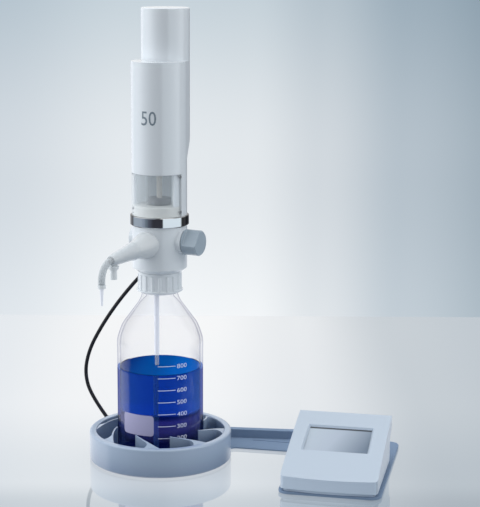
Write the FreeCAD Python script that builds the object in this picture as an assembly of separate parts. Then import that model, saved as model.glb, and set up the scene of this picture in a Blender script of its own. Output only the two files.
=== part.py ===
import FreeCAD, Part
import math
import os

# Motorized titration dispenser on its bottle, in a round holder with a control unit beside it.
# Millimetres. The origin is on the bench under the bottle, +Z is up, +X runs along the arm to the
# control unit, and the viewer of the display stands at -Y.
# Head pieces are drawn with the nozzle along -Y and the knob along +X, then turned by HEAD_TURN.

V = FreeCAD.Vector
UP = V(0, 0, 1)
RIGHT = V(1, 0, 0)
REAR = V(0, 1, 0)

# Fits
RUN = 0.05            # radial clearance of a running fit
GAP = 0.3             # clearance of loose neighbours
SEAM = 0.15           # joint line between two covers

# Base
FOOT_H = 1.2
FLOOR_T = 3.0
RING_R = 83.9
RING_WALL = 7.9
RING_TOP = 34.8
PAD_R = 70.0
VANE_COUNT = 8
VANE_T = 2.9
VANE_TOP = 40.6
VANE_FIRST = 27.5     # direction of the first vane's tip, in degrees
VANE_SWEEP = 34.0
VANE_MID_TURN = 17.0
VANE_FILLET = 6.0
VANE_FILLET_LAP = 0.5  # the fillet runs this far into the ring's wall
VANE_CLEAR = 1.2
ARM_FRONT = 44.4
ARM_FLOOR_T = 1.5
ARM_START = 16.0
ARM_FILLET = 8.0
DUCT_H = 11.8
DUCT_W = 9.0
DUCT_TURN = 5.34      # angle of the duct to the X axis, in degrees
LABEL_DEEP = 0.5
PLATE_LEFT = 159.0
PLATE_RIGHT = 274.5
PLATE_BACK = 102.5
PLATE_FRONT = -102.0
PLATE_T = 3.0
PLATE_CORNER = 12.0
PLATE_FOOT_R = 8.0

# Bottle and its content
BOTTLE_R = 50.5
BOTTLE_H = 225.0
BOTTLE_WALL = 3.0
BOTTLE_FOOT = 9.0
SHOULDER_DROP = 86.0   # shoulder, cone and neck are measured down from the mouth
CONE_LOW_R = 44.4
CONE_LOW_DROP = 66.4
CONE_TOP_R = 25.0
CONE_TOP_DROP = 39.6
NECK_R = 20.6
NECK_DROP = 29.5
NECK_BORE = 15.4
FINISH_R = 22.2
FINISH_DROP = 19.0
LIQUID_H = 107.7
LIQUID_HOLE = 7.4

# Threaded collar under the head
SEAL_T = 1.2
COLLAR_H = 24.6
COLLAR_R = 25.0
COLLAR_RIB = 0.9
COLLAR_RIBS = 18
COLLAR_FLANGE = 27.0
COLLAR_SLEEVE_R = 24.6
COLLAR_SLEEVE_H = 4.0

# Valve block
HEAD_TURN = -15.6
BLOCK_R = 31.9
BLOCK_H = 51.0
BLOCK_SKIRT = 3.8      # how far the block reaches down round the mouth
BLOCK_CHAMFER = 6.2
BLOCK_CHAMFER_H = 4.8
VALVE_H = 33.1        # height of the knob's axis above the block's underside
PLUG_R = 7.0
PORT_R = 1.8
CHANNEL_R = 2.2
RISER_X = -12.0
RETURN_Y = 11.0
SPIGOT_R = 14.4
SPIGOT_L = 8.0
KNOB_BOSS_R = 15.0
KNOB_BOSS_END = 34.8
VENT_BOSS_R = 14.0
VENT_BOSS_END = 33.4
VENT_PLUG_R = 6.0
NOZZLE_BOSS_R = 15.5
NOZZLE_BOSS_END = 33.0
NOZZLE_SHOULDER = (40.0, 14.2)
NOZZLE_WAIST = (50.0, 11.7)
NOZZLE_NECK_END = 60.0
NOZZLE_DROP = 3.5     # slope of the discharge arm, in degrees
KNOB_R = 14.75
KNOB_L = 19.0
KNOB_SKIRT = 2.0
KNOB_FLAT = 10.0      # distance of the finger flat from the knob's axis
KNOB_FLAT_ROUND = 2.0
KNOB_BAR_TURN = 52.0
BALL_R = 2.5
BALL_POCKET = 2.8
BALL_SEAT = 1.6
BALL_LIFT = 1.2

# Discharge arm, tube and tip
ARM_ROOT_R = 10.4
ARM_ROOT_L = 3.5
ARM_FLARE_L = 9.0
ARM_FLARE_R = 9.2
ARM_TAPER_L = 27.0
ARM_NECK_STEP = 0.8   # step between the block's nozzle and the arm's thicker root
ARM_MID_R = 8.0
ARM_END_R = 7.0
ARM_END = 108.2
ARM_NOSE = 7.0
TUBE_R = 4.0
TUBE_BORE = 3.0
TUBE_INSET = 7.0
TUBE_BEND = 19.5
FERRULE_DROP = 29.9   # ferrule's top below the knob's axis
FERRULE_H = 4.1
FERRULE_R = 4.5
TIP_R = 2.15
TIP_END_R = 1.1
TIP_BORE = 0.7
TIP_L = 19.5
CAP_AT = 102.5
CAP_FLANGE_R = 6.3
CAP_FLANGE_T = 3.4
CAP_STEM_R = 3.9
CAP_STEM_L = 11.4
CAP_BORE = 2.9

# Suction side
SUCTION_X = -4.4
ADAPTER_R = 5.5
ADAPTER_L = 6.0
NIPPLE_R = 2.0
NIPPLE_L = 9.0
UPPER_TUBE_R = 2.9
UPPER_TUBE_WALL = 0.5
UPPER_TUBE_L = 92.0
LOWER_TUBE_R = 2.35
LOWER_TUBE_WALL = 0.6
TUBE_LAP = 33.6       # how far the lower suction tube reaches up inside the upper one
TUBE_FOOT = 8.8       # the lower tube's end above the holder's floor

# Locking ring, cylinder seat and glass cylinder
LOCK_R = 34.0
LOCK_H = 11.9
LOCK_BORE = 30.6
SEAT_R = 29.2
SEAT_H = 11.2
GLASS_R = 15.0
GLASS_WALL = 1.5
GLASS_L = 100.0
GLASS_SUNK = 2.0
PISTON_H = 7.5
PISTON_REST = 0.3
PISTON_CLEAR = 0.1
ROD_R = 3.25
ROD_L = 121.7

# Drive housing
SHELL_T = 2.6
REAR_R = 27.8
REAR_SHIFT = 15.4
SHELF_H = 176.2
WINDOW_H = 49.1
WINDOW_SPAN = 164.0
PANE_T = 2.3
OVERHANG_H = 89.7     # overhang, cover and shelf are measured up from the locking ring
OVERHANG_Y = 29.3
OVERHANG_SLOPE = 1.43
MOTOR_COVER_H = 59.8
TOP_CAP_T = 2.8
COVER_HALF = 18.0
COVER_H = 116.7
COVER_EDGE = 7.5      # cover's top edge below the shelf
LUG_T = 3.0
LUG_SPREAD = 11.0     # how many degrees the pane's rest reaches beyond the window on each side
LUG_LAP = 17.0        # and how many degrees it reaches in behind the pane
SCREW_EDGE = 3.5      # degrees between a screw and the window's side
SCREW_HEAD_R = 1.6
SCREW_HEAD_H = 0.7
SCREW_R = 0.9

# Spindle drive
GEAR_PLATE_T = 4.0
HEAD_BELL_R = 18.0
HEAD_BELL_H = 11.5
GEAR_MODULE = 0.7
NUT_TEETH = 48
PINION_TEETH = 22
GEAR_T = 7.0
GEAR_LIFT = 2.3
BEARING_R = 11.0
BEARING_BORE = 7.0
BEARING_FLANGE = 1.6
MOTOR_PLATE_GAP = 14.0
MOTOR_PLATE_T = 3.0
MOTOR_R = 15.0
MOTOR_L = 60.0
SHAFT_R = 1.5
POST_R = 3.0
BOARD_T = 1.6
BOARD_W = 34.0
BOARD_GAP = 3.9       # board's top edge below the shelf's inner face
BOARD_Y = -20.0

# Cable between the head and the holder
CABLE_R = 2.25
GLAND_R = 4.4
HEAD_GLAND_Y = 37.6
HEAD_GLAND_L = 18.0
HEAD_GLAND_DROP = 5.0
CABLE_HIGH = [        # route from the head's gland down, measured from that gland
    (0.0, 0.0, 0.0),
    (0.0, 0.0, -31.0),
    (-0.51, 2.58, -64.0),
    (-3.91, 4.98, -98.0),
    (-14.61, 5.78, -129.0),
    (-32.11, 2.78, -154.5),
    (-53.11, -1.62, -178.0),
]
CABLE_LOW = [         # and on to the holder's gland, measured from that one
    (16.0, -8.8, 144.5),
    (-2.5, -6.8, 115.5),
    (-18.5, -4.4, 85.5),
    (-26.6, -2.5, 55.5),
    (-19.6, -0.4, 26.5),
    (0.0, 0.0, 0.0),
]
BASE_GLAND_L = 14.0
BASE_GLAND_OUT = 6.14
BASE_GLAND_ANGLE = 151.328
BASE_GLAND_DROP = 4.3

# Control unit
UNIT_LEFT = 162.1
UNIT_W = 109.1
UNIT_FRONT = -101.5
UNIT_BACK = 36.7
UNIT_FRONT_Z = 21.5
UNIT_BACK_Z = 57.0
UNIT_BOW = 3.0
UNIT_BULGE = 2.5
UNIT_CORNER = 5.0
UNIT_EDGE = 2.0
UNIT_WALL = 2.6
UNIT_SKIRT_Z = 7.8
UNIT_INSET = 3.0
UNIT_FOOT_BACK = 18.5
UNIT_UNDERCUT_Z = 36.0
UNIT_TAIL = 4.3
UNIT_TAIL_Z = 44.0
SCREEN_W = 70.8
SCREEN_L = 53.0
SCREEN_LEFT = 18.4
SCREEN_START = 54.7
SCREEN_DROP = 0.8
SCREEN_T = 1.6
SCREEN_LAP = 2.2
BEZEL_SIDE = 1.5
BEZEL_BACK = 0.6
BEZEL_FRONT = 0.3
PANEL_T = 4.0
SOCKET_R = 5.0
SOCKET_L = 6.0

# Levels worked out from the sizes above
FLOOR_Z = FOOT_H + FLOOR_T
RING_IN = RING_R - RING_WALL
MOUTH_Z = FLOOR_Z + BOTTLE_H
BLOCK_Z = MOUTH_Z + SEAL_T
SKIRT_Z = BLOCK_Z - BLOCK_SKIRT
VALVE_Z = BLOCK_Z + VALVE_H
SHOULDER_Z = BLOCK_Z + BLOCK_H
LOCK_TOP = SHOULDER_Z + LOCK_H
BLOCK_TOP = SHOULDER_Z + LOCK_H / 2
SEAT_TOP = LOCK_TOP + SEAT_H
GLASS_Z = SEAT_TOP - GLASS_SUNK
GLASS_TOP = GLASS_Z + GLASS_L
BELL_TOP = GLASS_TOP - GLASS_SUNK + HEAD_BELL_H
PLATE_Z = BELL_TOP + GEAR_PLATE_T
GEAR_Z = PLATE_Z + GEAR_LIFT
MOTOR_PLATE_Z = PLATE_Z + MOTOR_PLATE_GAP
MOTOR_Z = MOTOR_PLATE_Z + MOTOR_PLATE_T
WINDOW_TOP = LOCK_TOP + WINDOW_H
SHELF_Z = LOCK_TOP + SHELF_H
FERRULE_TOP = VALVE_Z - FERRULE_DROP
OVERHANG_Z = LOCK_TOP + OVERHANG_H
COVER_LOW = LOCK_TOP + COVER_H
COVER_HIGH = SHELF_Z - COVER_EDGE
HEAD_TOP = SHELF_Z + MOTOR_COVER_H
CAP_Z = HEAD_TOP - TOP_CAP_T
BOARD_H = SHELF_Z - SHELL_T - BOARD_GAP - MOTOR_Z
HEAD_GLAND_Z = OVERHANG_Z - HEAD_GLAND_DROP
UPPER_TUBE_END = BLOCK_Z - SPIGOT_L - ADAPTER_L - UPPER_TUBE_L
LOWER_TUBE_TOP = UPPER_TUBE_END + TUBE_LAP
LOWER_TUBE_END = FLOOR_Z + TUBE_FOOT
GEAR_SPAN = GEAR_MODULE * (NUT_TEETH + PINION_TEETH) / 2
TABLE_Z = FOOT_H + PLATE_T
NOZZLE_DIR = V(0, -math.cos(math.radians(NOZZLE_DROP)), -math.sin(math.radians(NOZZLE_DROP)))


# Small shape helpers

def rod(radius, length, at, along=UP):
    return Part.makeCylinder(radius, length, at, along)


def pipe(outer, inner, length, at, along=UP):
    return rod(outer, length, at, along).cut(rod(inner, length, at, along))


def block(size_x, size_y, size_z, corner):
    return Part.makeBox(size_x, size_y, size_z, corner)


def polar(radius, degrees, z=0.0):
    angle = math.radians(degrees)
    return V(radius * math.cos(angle), radius * math.sin(angle), z)


def line(start, end):
    return Part.LineSegment(start, end).toShape()


def arc(start, through, end):
    return Part.Arc(start, through, end).toShape()


def polygon(points):
    return Part.Face(Part.makePolygon(points + points[:1]))


def turned(profile):
    """Solid of revolution about Z from (radius, z) points."""
    return polygon([V(r, 0, z) for r, z in profile]).revolve(V(0, 0, 0), UP, 360)


def turned_edges(edges):
    return Part.Face(Part.Wire(edges)).revolve(V(0, 0, 0), UP, 360)


def joined(shapes):
    return shapes[0].multiFuse(shapes[1:]).removeSplitter()


def around(shape, count):
    copies = []
    for index in range(count):
        copy = shape.copy()
        copy.rotate(V(0, 0, 0), UP, index * 360.0 / count)
        copies.append(copy)
    return copies


def along_nozzle(distance):
    """Point on the discharge arm's axis at a distance from the bottle's axis."""
    return V(0, 0, VALVE_Z) + NOZZLE_DIR * distance


def turned_along_nozzle(profile):
    """Solid of revolution about the nozzle axis from (distance, radius) points."""
    shape = turned([(r, d) for d, r in profile])
    shape.rotate(V(0, 0, 0), RIGHT, 90 + NOZZLE_DROP)
    shape.translate(V(0, 0, VALVE_Z))
    return shape


# Base: holder ring, vanes, arm and plate

def holder_ring():
    top_round = 2.4
    edges = [
        line(V(0, 0, FOOT_H), V(RING_R - 1.5, 0, FOOT_H)),
        line(V(RING_R - 1.5, 0, FOOT_H), V(RING_R, 0, FOOT_H + 1.5)),
        line(V(RING_R, 0, FOOT_H + 1.5), V(RING_R, 0, RING_TOP - top_round)),
        arc(V(RING_R, 0, RING_TOP - top_round),
            V(RING_R - top_round * 0.293, 0, RING_TOP - top_round * 0.293),
            V(RING_R - top_round, 0, RING_TOP)),
        line(V(RING_R - top_round, 0, RING_TOP), V(RING_IN + 1.2, 0, RING_TOP)),
        arc(V(RING_IN + 1.2, 0, RING_TOP), V(RING_IN + 0.35, 0, RING_TOP - 0.35),
            V(RING_IN, 0, RING_TOP - 1.2)),
        line(V(RING_IN, 0, RING_TOP - 1.2), V(RING_IN, 0, FLOOR_Z)),
        line(V(RING_IN, 0, FLOOR_Z), V(0, 0, FLOOR_Z)),
        line(V(0, 0, FLOOR_Z), V(0, 0, FOOT_H)),
    ]
    return turned_edges(edges)


def vane_blade():
    """One curved vane with rounded corners where it runs into the ring's wall."""
    half = VANE_T / 2
    tip_r = BOTTLE_R + VANE_CLEAR + half
    root_r = RING_IN + 3
    tip = polar(tip_r, 0)
    mid = polar((tip_r + RING_IN) / 2, VANE_MID_TURN)
    root = polar(root_r, VANE_SWEEP)
    tip_side = V(0, half, 0)
    mid_side = polar(half, 90 + VANE_SWEEP / 2 + 10)
    root_side = polar(half, 90 + VANE_SWEEP)
    edges = [
        arc(tip - tip_side, tip - V(half, 0, 0), tip + tip_side),
        arc(tip + tip_side, mid + mid_side, root + root_side),
        line(root + root_side, root - root_side),
        arc(root - root_side, mid - mid_side, tip - tip_side),
    ]
    height = VANE_TOP - FLOOR_Z
    blade = Part.Face(Part.Wire(edges)).extrude(V(0, 0, height))
    wall_r = RING_IN + VANE_FILLET_LAP
    wall = pipe(root_r + 3, wall_r, height, V(0, 0, 0))
    both = wall.fuse(blade)
    corners = [edge for edge in both.Edges
               if edge.BoundBox.ZLength > height - 1 and edge.BoundBox.XLength < 0.01
               and abs(math.hypot(edge.BoundBox.XMin, edge.BoundBox.YMin) - wall_r) < 0.05
               and abs(math.degrees(math.atan2(edge.BoundBox.YMin, edge.BoundBox.XMin)) - VANE_SWEEP) < 15]
    both = both.makeFillet(VANE_FILLET, corners)
    both = both.common(rod(RING_IN, height, V(0, 0, 0)))
    both.translate(V(0, 0, FLOOR_Z))
    return both


def bottle_vanes():
    crown = [
        line(V(0, 0, FLOOR_Z), V(RING_IN, 0, FLOOR_Z)),
        line(V(RING_IN, 0, FLOOR_Z), V(RING_IN, 0, RING_TOP - 1.2)),
        arc(V(RING_IN, 0, RING_TOP - 1.2),
            V((RING_IN + BOTTLE_R) / 2, 0, (RING_TOP + VANE_TOP) / 2 + 0.8),
            V(BOTTLE_R, 0, VANE_TOP)),
        line(V(BOTTLE_R, 0, VANE_TOP), V(0, 0, VANE_TOP)),
        line(V(0, 0, VANE_TOP), V(0, 0, FLOOR_Z)),
    ]
    blade = vane_blade().common(turned_edges(crown))
    blade.rotate(V(0, 0, 0), UP, VANE_FIRST)
    return Part.makeCompound(around(blade, VANE_COUNT))


def duct_back(x):
    """Y of the duct's outer face, a line that just touches the holder ring."""
    turn = math.radians(DUCT_TURN)
    return RING_R / math.cos(turn) + x * math.tan(turn)


def link_arm():
    low = FOOT_H
    width = DUCT_W / math.cos(math.radians(DUCT_TURN))
    floor = polygon([
        V(ARM_START, ARM_FRONT, low),
        V(PLATE_LEFT, ARM_FRONT, low),
        V(PLATE_LEFT, duct_back(PLATE_LEFT), low),
        V(ARM_START, duct_back(ARM_START), low),
    ]).extrude(V(0, 0, ARM_FLOOR_T))
    corner_x = math.sqrt((RING_R + ARM_FILLET) ** 2 - (ARM_FRONT - ARM_FILLET) ** 2)
    corner = V(corner_x, ARM_FRONT - ARM_FILLET, low)
    web = polygon([
        V(corner.x - 2 * ARM_FILLET, corner.y, low),
        corner,
        V(corner.x, ARM_FRONT, low),
        V(corner.x - 2 * ARM_FILLET, ARM_FRONT, low),
    ]).extrude(V(0, 0, ARM_FLOOR_T))
    web = web.cut(rod(ARM_FILLET, ARM_FLOOR_T, corner))
    duct = polygon([
        V(ARM_START, duct_back(ARM_START) - width, low),
        V(PLATE_LEFT, duct_back(PLATE_LEFT) - width, low),
        V(PLATE_LEFT, duct_back(PLATE_LEFT), low),
        V(ARM_START, duct_back(ARM_START), low),
    ]).extrude(V(0, 0, DUCT_H))
    label_left = RING_R + 17
    label = polygon([
        V(label_left, ARM_FRONT + 14, low + ARM_FLOOR_T),
        V(PLATE_LEFT + 1, ARM_FRONT + 14, low + ARM_FLOOR_T),
        V(PLATE_LEFT + 1, ARM_FRONT + 32, low + ARM_FLOOR_T),
        V(label_left - 4, ARM_FRONT + 32, low + ARM_FLOOR_T),
    ]).extrude(V(0, 0, -LABEL_DEEP))
    arm = joined([floor, web, duct]).cut(label)
    return arm.cut(rod(RING_R, RING_TOP, V(0, 0, 0)))


def unit_plate():
    plan = block(PLATE_RIGHT - PLATE_LEFT, PLATE_BACK - PLATE_FRONT, PLATE_T,
                 V(PLATE_LEFT, PLATE_FRONT, FOOT_H))
    upright = [edge for edge in plan.Edges
               if edge.BoundBox.ZLength > 1 and not (edge.BoundBox.XMin < PLATE_LEFT + 1 and
                                                     edge.BoundBox.YMin > 0)]
    plate = plan.makeFillet(PLATE_CORNER, upright)
    top = [edge for edge in plate.Edges if edge.BoundBox.ZMin > TABLE_Z - 0.01]
    return plate.makeChamfer(0.6, top)


def base_feet():
    pads = [rod(PAD_R, FOOT_H, V(0, 0, 0))]
    inset = PLATE_CORNER + 2
    for x in (PLATE_LEFT + inset, PLATE_RIGHT - inset):
        for y in (PLATE_FRONT + inset, PLATE_BACK - inset):
            pads.append(rod(PLATE_FOOT_R, FOOT_H, V(x, y, 0)))
    return Part.makeCompound(pads)


def base_gland():
    route = cable_route()
    end = route[-1]
    heading = (end - route[-2]).normalize()
    body = Part.makeCone(CABLE_R + 0.9, GLAND_R, BASE_GLAND_L, end, heading)
    return body.cut(rod(RING_R, RING_TOP, V(0, 0, 0)))


# Bottle

def bottle_edges(inset, floor_z, neck_r, top_z):
    """Half outline of the bottle from its floor's centre to the mouth, moved inward by inset."""
    slope = math.atan2(CONE_LOW_R - CONE_TOP_R, CONE_LOW_DROP - CONE_TOP_DROP)
    shift_r = inset * math.cos(slope)
    shift_z = inset * math.sin(slope)
    body = BOTTLE_R - inset
    foot = max(BOTTLE_FOOT - inset, 2.0)
    low = V(CONE_LOW_R - shift_r, 0, MOUTH_Z - CONE_LOW_DROP - shift_z)
    high = V(CONE_TOP_R - shift_r, 0, MOUTH_Z - CONE_TOP_DROP - shift_z)
    shoulder = V(body, 0, MOUTH_Z - SHOULDER_DROP - shift_z)
    bulge = V((body + low.x) / 2 + 1.4, 0, (shoulder.z + low.z) / 2 + 1.0)
    neck = V(neck_r, 0, MOUTH_Z - NECK_DROP)
    throat = V((high.x + neck_r) / 2 - 0.6, 0, (high.z + neck.z) / 2 - 0.5)
    return [
        line(V(0, 0, floor_z), V(body - foot, 0, floor_z)),
        arc(V(body - foot, 0, floor_z),
            V(body - foot * 0.293, 0, floor_z + foot * 0.293),
            V(body, 0, floor_z + foot)),
        line(V(body, 0, floor_z + foot), shoulder),
        arc(shoulder, bulge, low),
        line(low, high),
        arc(high, throat, neck),
        line(neck, V(neck_r, 0, top_z)),
        line(V(neck_r, 0, top_z), V(0, 0, top_z)),
        line(V(0, 0, top_z), V(0, 0, floor_z)),
    ]


def bottle_glass():
    outer = turned_edges(bottle_edges(0.0, FLOOR_Z, NECK_R, MOUTH_Z))
    finish_z = MOUTH_Z - FINISH_DROP
    finish = turned([(0, finish_z), (NECK_R, finish_z), (FINISH_R, finish_z + 2), (FINISH_R, MOUTH_Z - 2.5),
                     (NECK_R + 0.6, MOUTH_Z - 0.8), (NECK_R, MOUTH_Z), (0, MOUTH_Z)])
    inner = turned_edges(bottle_edges(BOTTLE_WALL, FLOOR_Z + BOTTLE_WALL + 1.2, NECK_BORE, MOUTH_Z))
    return outer.fuse(finish).removeSplitter().cut(inner)


def bottle_liquid():
    level = FLOOR_Z + LIQUID_H
    fill = turned_edges(bottle_edges(BOTTLE_WALL + SEAM, FLOOR_Z + BOTTLE_WALL + 1.2 + SEAM,
                                     NECK_BORE - SEAM, MOUTH_Z))
    fill = fill.common(rod(BOTTLE_R, level, V(0, 0, 0)))
    return fill.cut(rod(LIQUID_HOLE, level, V(0, 0, 0)))


# Collar and seal

def thread_collar():
    high = SKIRT_Z - GAP
    low = high - COLLAR_H
    top = BLOCK_Z - GAP + COLLAR_SLEEVE_H
    bore = FINISH_R + 0.4
    body = turned([
        (bore, low), (COLLAR_FLANGE - 3.6, low), (COLLAR_FLANGE, low + 2.2), (COLLAR_FLANGE, low + 3.6),
        (COLLAR_R, low + 4.2), (COLLAR_R, high), (COLLAR_SLEEVE_R, high),
        (COLLAR_SLEEVE_R, top), (COLLAR_SLEEVE_R - 1.6, top), (bore, top - 1)])
    band = pipe(COLLAR_R + 0.4, COLLAR_R - 1, 2.6, V(0, 0, high - 2.6))
    rib = rod(2.6, COLLAR_H - 7.4, polar(COLLAR_R + COLLAR_RIB - 2.6, 0, low + 4.2))
    ring = joined([body, band] + around(rib, COLLAR_RIBS))
    return ring.cut(rod(bore, top - 1 - low, V(0, 0, low)))


def neck_seal():
    ring = pipe(NECK_R - 0.3, SPIGOT_R + 0.1, SEAL_T, V(0, 0, MOUTH_Z))
    return ring


# Valve block and what is in it

def valve_block():
    body = turned([
        (0, BLOCK_Z), (COLLAR_SLEEVE_R + GAP, BLOCK_Z), (COLLAR_SLEEVE_R + GAP, SKIRT_Z),
        (BLOCK_R - BLOCK_CHAMFER, SKIRT_Z), (BLOCK_R, SKIRT_Z + BLOCK_CHAMFER_H),
        (BLOCK_R, SHOULDER_Z), (LOCK_BORE - RUN, SHOULDER_Z), (LOCK_BORE - RUN, BLOCK_TOP),
        (0, BLOCK_TOP)])
    knob_boss = rod(KNOB_BOSS_R, KNOB_BOSS_END, V(0, 0, VALVE_Z), RIGHT)
    vent_boss = rod(VENT_BOSS_R, VENT_BOSS_END, V(0, 0, VALVE_Z), V(-1, 0, 0))
    nozzle_boss = turned_along_nozzle([
        (0, 0), (0, NOZZLE_BOSS_R), (NOZZLE_BOSS_END, NOZZLE_BOSS_R), NOZZLE_SHOULDER, NOZZLE_WAIST,
        (NOZZLE_NECK_END - 1, ARM_ROOT_R - ARM_NECK_STEP), (NOZZLE_NECK_END, ARM_ROOT_R - ARM_NECK_STEP),
        (NOZZLE_NECK_END, 0)])
    spigot = rod(SPIGOT_R, SPIGOT_L, V(0, 0, BLOCK_Z - SPIGOT_L))
    solid = joined([body, knob_boss, vent_boss, nozzle_boss, spigot])
    sleeve_pocket = pipe(COLLAR_SLEEVE_R + GAP, FINISH_R, COLLAR_SLEEVE_H + 0.2, V(0, 0, BLOCK_Z))
    plug_bore = rod(PLUG_R + RUN, KNOB_BOSS_END + PLUG_R + 1, V(-PLUG_R - 1, 0, VALVE_Z), RIGHT)
    pump_channel = rod(CHANNEL_R, BLOCK_TOP - VALVE_Z, V(0, 0, VALVE_Z))
    nozzle_channel = rod(CHANNEL_R, NOZZLE_NECK_END + 2, V(0, 0, VALVE_Z), NOZZLE_DIR)
    inlet_channel = rod(CHANNEL_R, 4.0, V(SUCTION_X, 0, inlet_shoulder() - 1))
    inlet_cross = rod(CHANNEL_R, SUCTION_X - RISER_X, V(RISER_X, 0, inlet_shoulder() + 3), RIGHT)
    riser = rod(CHANNEL_R, VALVE_Z + 12 - inlet_shoulder() - 3, V(RISER_X, 0, inlet_shoulder() + 3))
    riser_cross = rod(CHANNEL_R, -RISER_X, V(RISER_X, 0, VALVE_Z + 12), RIGHT)
    return_cross = rod(CHANNEL_R, RETURN_Y, V(0, 0, VALVE_Z), REAR)
    return_channel = rod(CHANNEL_R, VALVE_H + SPIGOT_L, V(0, RETURN_Y, BLOCK_Z - SPIGOT_L))
    ball_pocket = rod(BALL_POCKET, inlet_shoulder() - inlet_seat(), V(SUCTION_X, 0, inlet_seat()))
    adapter_pocket = rod(ADAPTER_R, inlet_seat() - BLOCK_Z + SPIGOT_L, V(SUCTION_X, 0, BLOCK_Z - SPIGOT_L))
    vent_pocket = rod(VENT_PLUG_R, 4.0, V(-VENT_BOSS_END, 0, VALVE_Z), RIGHT)
    for hole in (sleeve_pocket, plug_bore, pump_channel, nozzle_channel, inlet_channel, inlet_cross,
                 riser, riser_cross, return_cross, return_channel, ball_pocket, adapter_pocket,
                 vent_pocket):
        solid = solid.cut(hole)
    return solid


def inlet_seat():
    return BLOCK_Z - SPIGOT_L / 2


def ball_height():
    """Distance from a seat's sharp edge plane to the centre of the ball that rests on it."""
    return math.sqrt(BALL_R ** 2 - BALL_SEAT ** 2)


def inlet_shoulder():
    stop = math.sqrt(BALL_R ** 2 - CHANNEL_R ** 2)
    return inlet_seat() + ball_height() + BALL_LIFT + stop + RUN


def inlet_ball():
    return Part.makeSphere(BALL_R, V(SUCTION_X, 0, inlet_seat() + ball_height()))


def outlet_seat():
    return NOZZLE_NECK_END + 3.0


def outlet_ball():
    return Part.makeSphere(BALL_R, along_nozzle(outlet_seat() + ball_height()))


def outlet_valve_seat():
    return pipe(CHANNEL_R + 1.8, BALL_SEAT, outlet_seat() - NOZZLE_NECK_END,
                along_nozzle(NOZZLE_NECK_END), NOZZLE_DIR)


def suction_adapter():
    low = BLOCK_Z - SPIGOT_L - ADAPTER_L
    body = rod(ADAPTER_R, inlet_seat() - low, V(SUCTION_X, 0, low))
    nipple = rod(NIPPLE_R, NIPPLE_L, V(SUCTION_X, 0, low - NIPPLE_L))
    bore = rod(BALL_SEAT, inlet_seat() - low + NIPPLE_L, V(SUCTION_X, 0, low - NIPPLE_L))
    return body.fuse(nipple).removeSplitter().cut(bore)


def suction_tube_upper():
    inner = UPPER_TUBE_R - UPPER_TUBE_WALL
    return pipe(UPPER_TUBE_R, inner, UPPER_TUBE_L, V(SUCTION_X, 0, UPPER_TUBE_END))


def suction_tube_lower():
    inner = LOWER_TUBE_R - LOWER_TUBE_WALL
    tube = pipe(LOWER_TUBE_R, inner, LOWER_TUBE_TOP - LOWER_TUBE_END, V(SUCTION_X, 0, LOWER_TUBE_END))
    notch = block(2 * LOWER_TUBE_R + 2, 1.6, 4, V(SUCTION_X - LOWER_TUBE_R - 1, -0.8, LOWER_TUBE_END - 2))
    return tube.cut(notch)


def valve_plug():
    start = -PLUG_R
    plug = rod(PLUG_R, KNOB_BOSS_END + GAP - start, V(start, 0, VALVE_Z), RIGHT)
    to_pump = rod(PORT_R, PLUG_R + 1, V(0, 0, VALVE_Z))
    to_nozzle = rod(PORT_R, PLUG_R + 1, V(0, 0, VALVE_Z), V(0, -1, 0))
    return plug.cut(to_pump).cut(to_nozzle)


def recirculation_knob():
    start = KNOB_BOSS_END + GAP
    end = start + KNOB_L
    body = turned([
        (0, start), (KNOB_R - 0.8, start), (KNOB_R, start + 0.8), (KNOB_R, end - 1.2),
        (KNOB_R - 1.2, end), (0, end)])
    body.rotate(V(0, 0, 0), REAR, 90)
    body.translate(V(0, 0, VALVE_Z))
    turn = math.radians(KNOB_BAR_TURN)
    bar = V(0, math.cos(turn), math.sin(turn))
    side = V(0, -math.sin(turn), math.cos(turn))
    foot = start + KNOB_SKIRT
    bend = KNOB_FLAT_ROUND
    centre = V(0, 0, VALVE_Z) - bar * (KNOB_R + 2)
    corner = [centre + side * (KNOB_R + 3) + V(foot, 0, 0),
              centre + side * (KNOB_FLAT + bend) + V(foot, 0, 0),
              centre + side * (KNOB_FLAT + bend * 0.293) + V(foot + bend * 0.293, 0, 0),
              centre + side * KNOB_FLAT + V(foot + bend, 0, 0),
              centre + side * KNOB_FLAT + V(end + 1, 0, 0),
              centre + side * (KNOB_R + 3) + V(end + 1, 0, 0)]
    scoop = Part.Face(Part.Wire([
        line(corner[0], corner[1]), arc(corner[1], corner[2], corner[3]), line(corner[3], corner[4]),
        line(corner[4], corner[5]), line(corner[5], corner[0])]))
    return body.cut(scoop.extrude(bar * (2 * KNOB_R + 4)))


def vent_plug():
    plug = rod(VENT_PLUG_R, 4.8, V(-VENT_BOSS_END + 4.0, 0, VALVE_Z), V(-1, 0, 0))
    slot = block(1.4, 8.0, 1.2, V(-VENT_BOSS_END - 0.8, -4.0, VALVE_Z - 0.6))
    return plug.cut(slot)


# Discharge arm, bent tube, tip and tip cap

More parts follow.
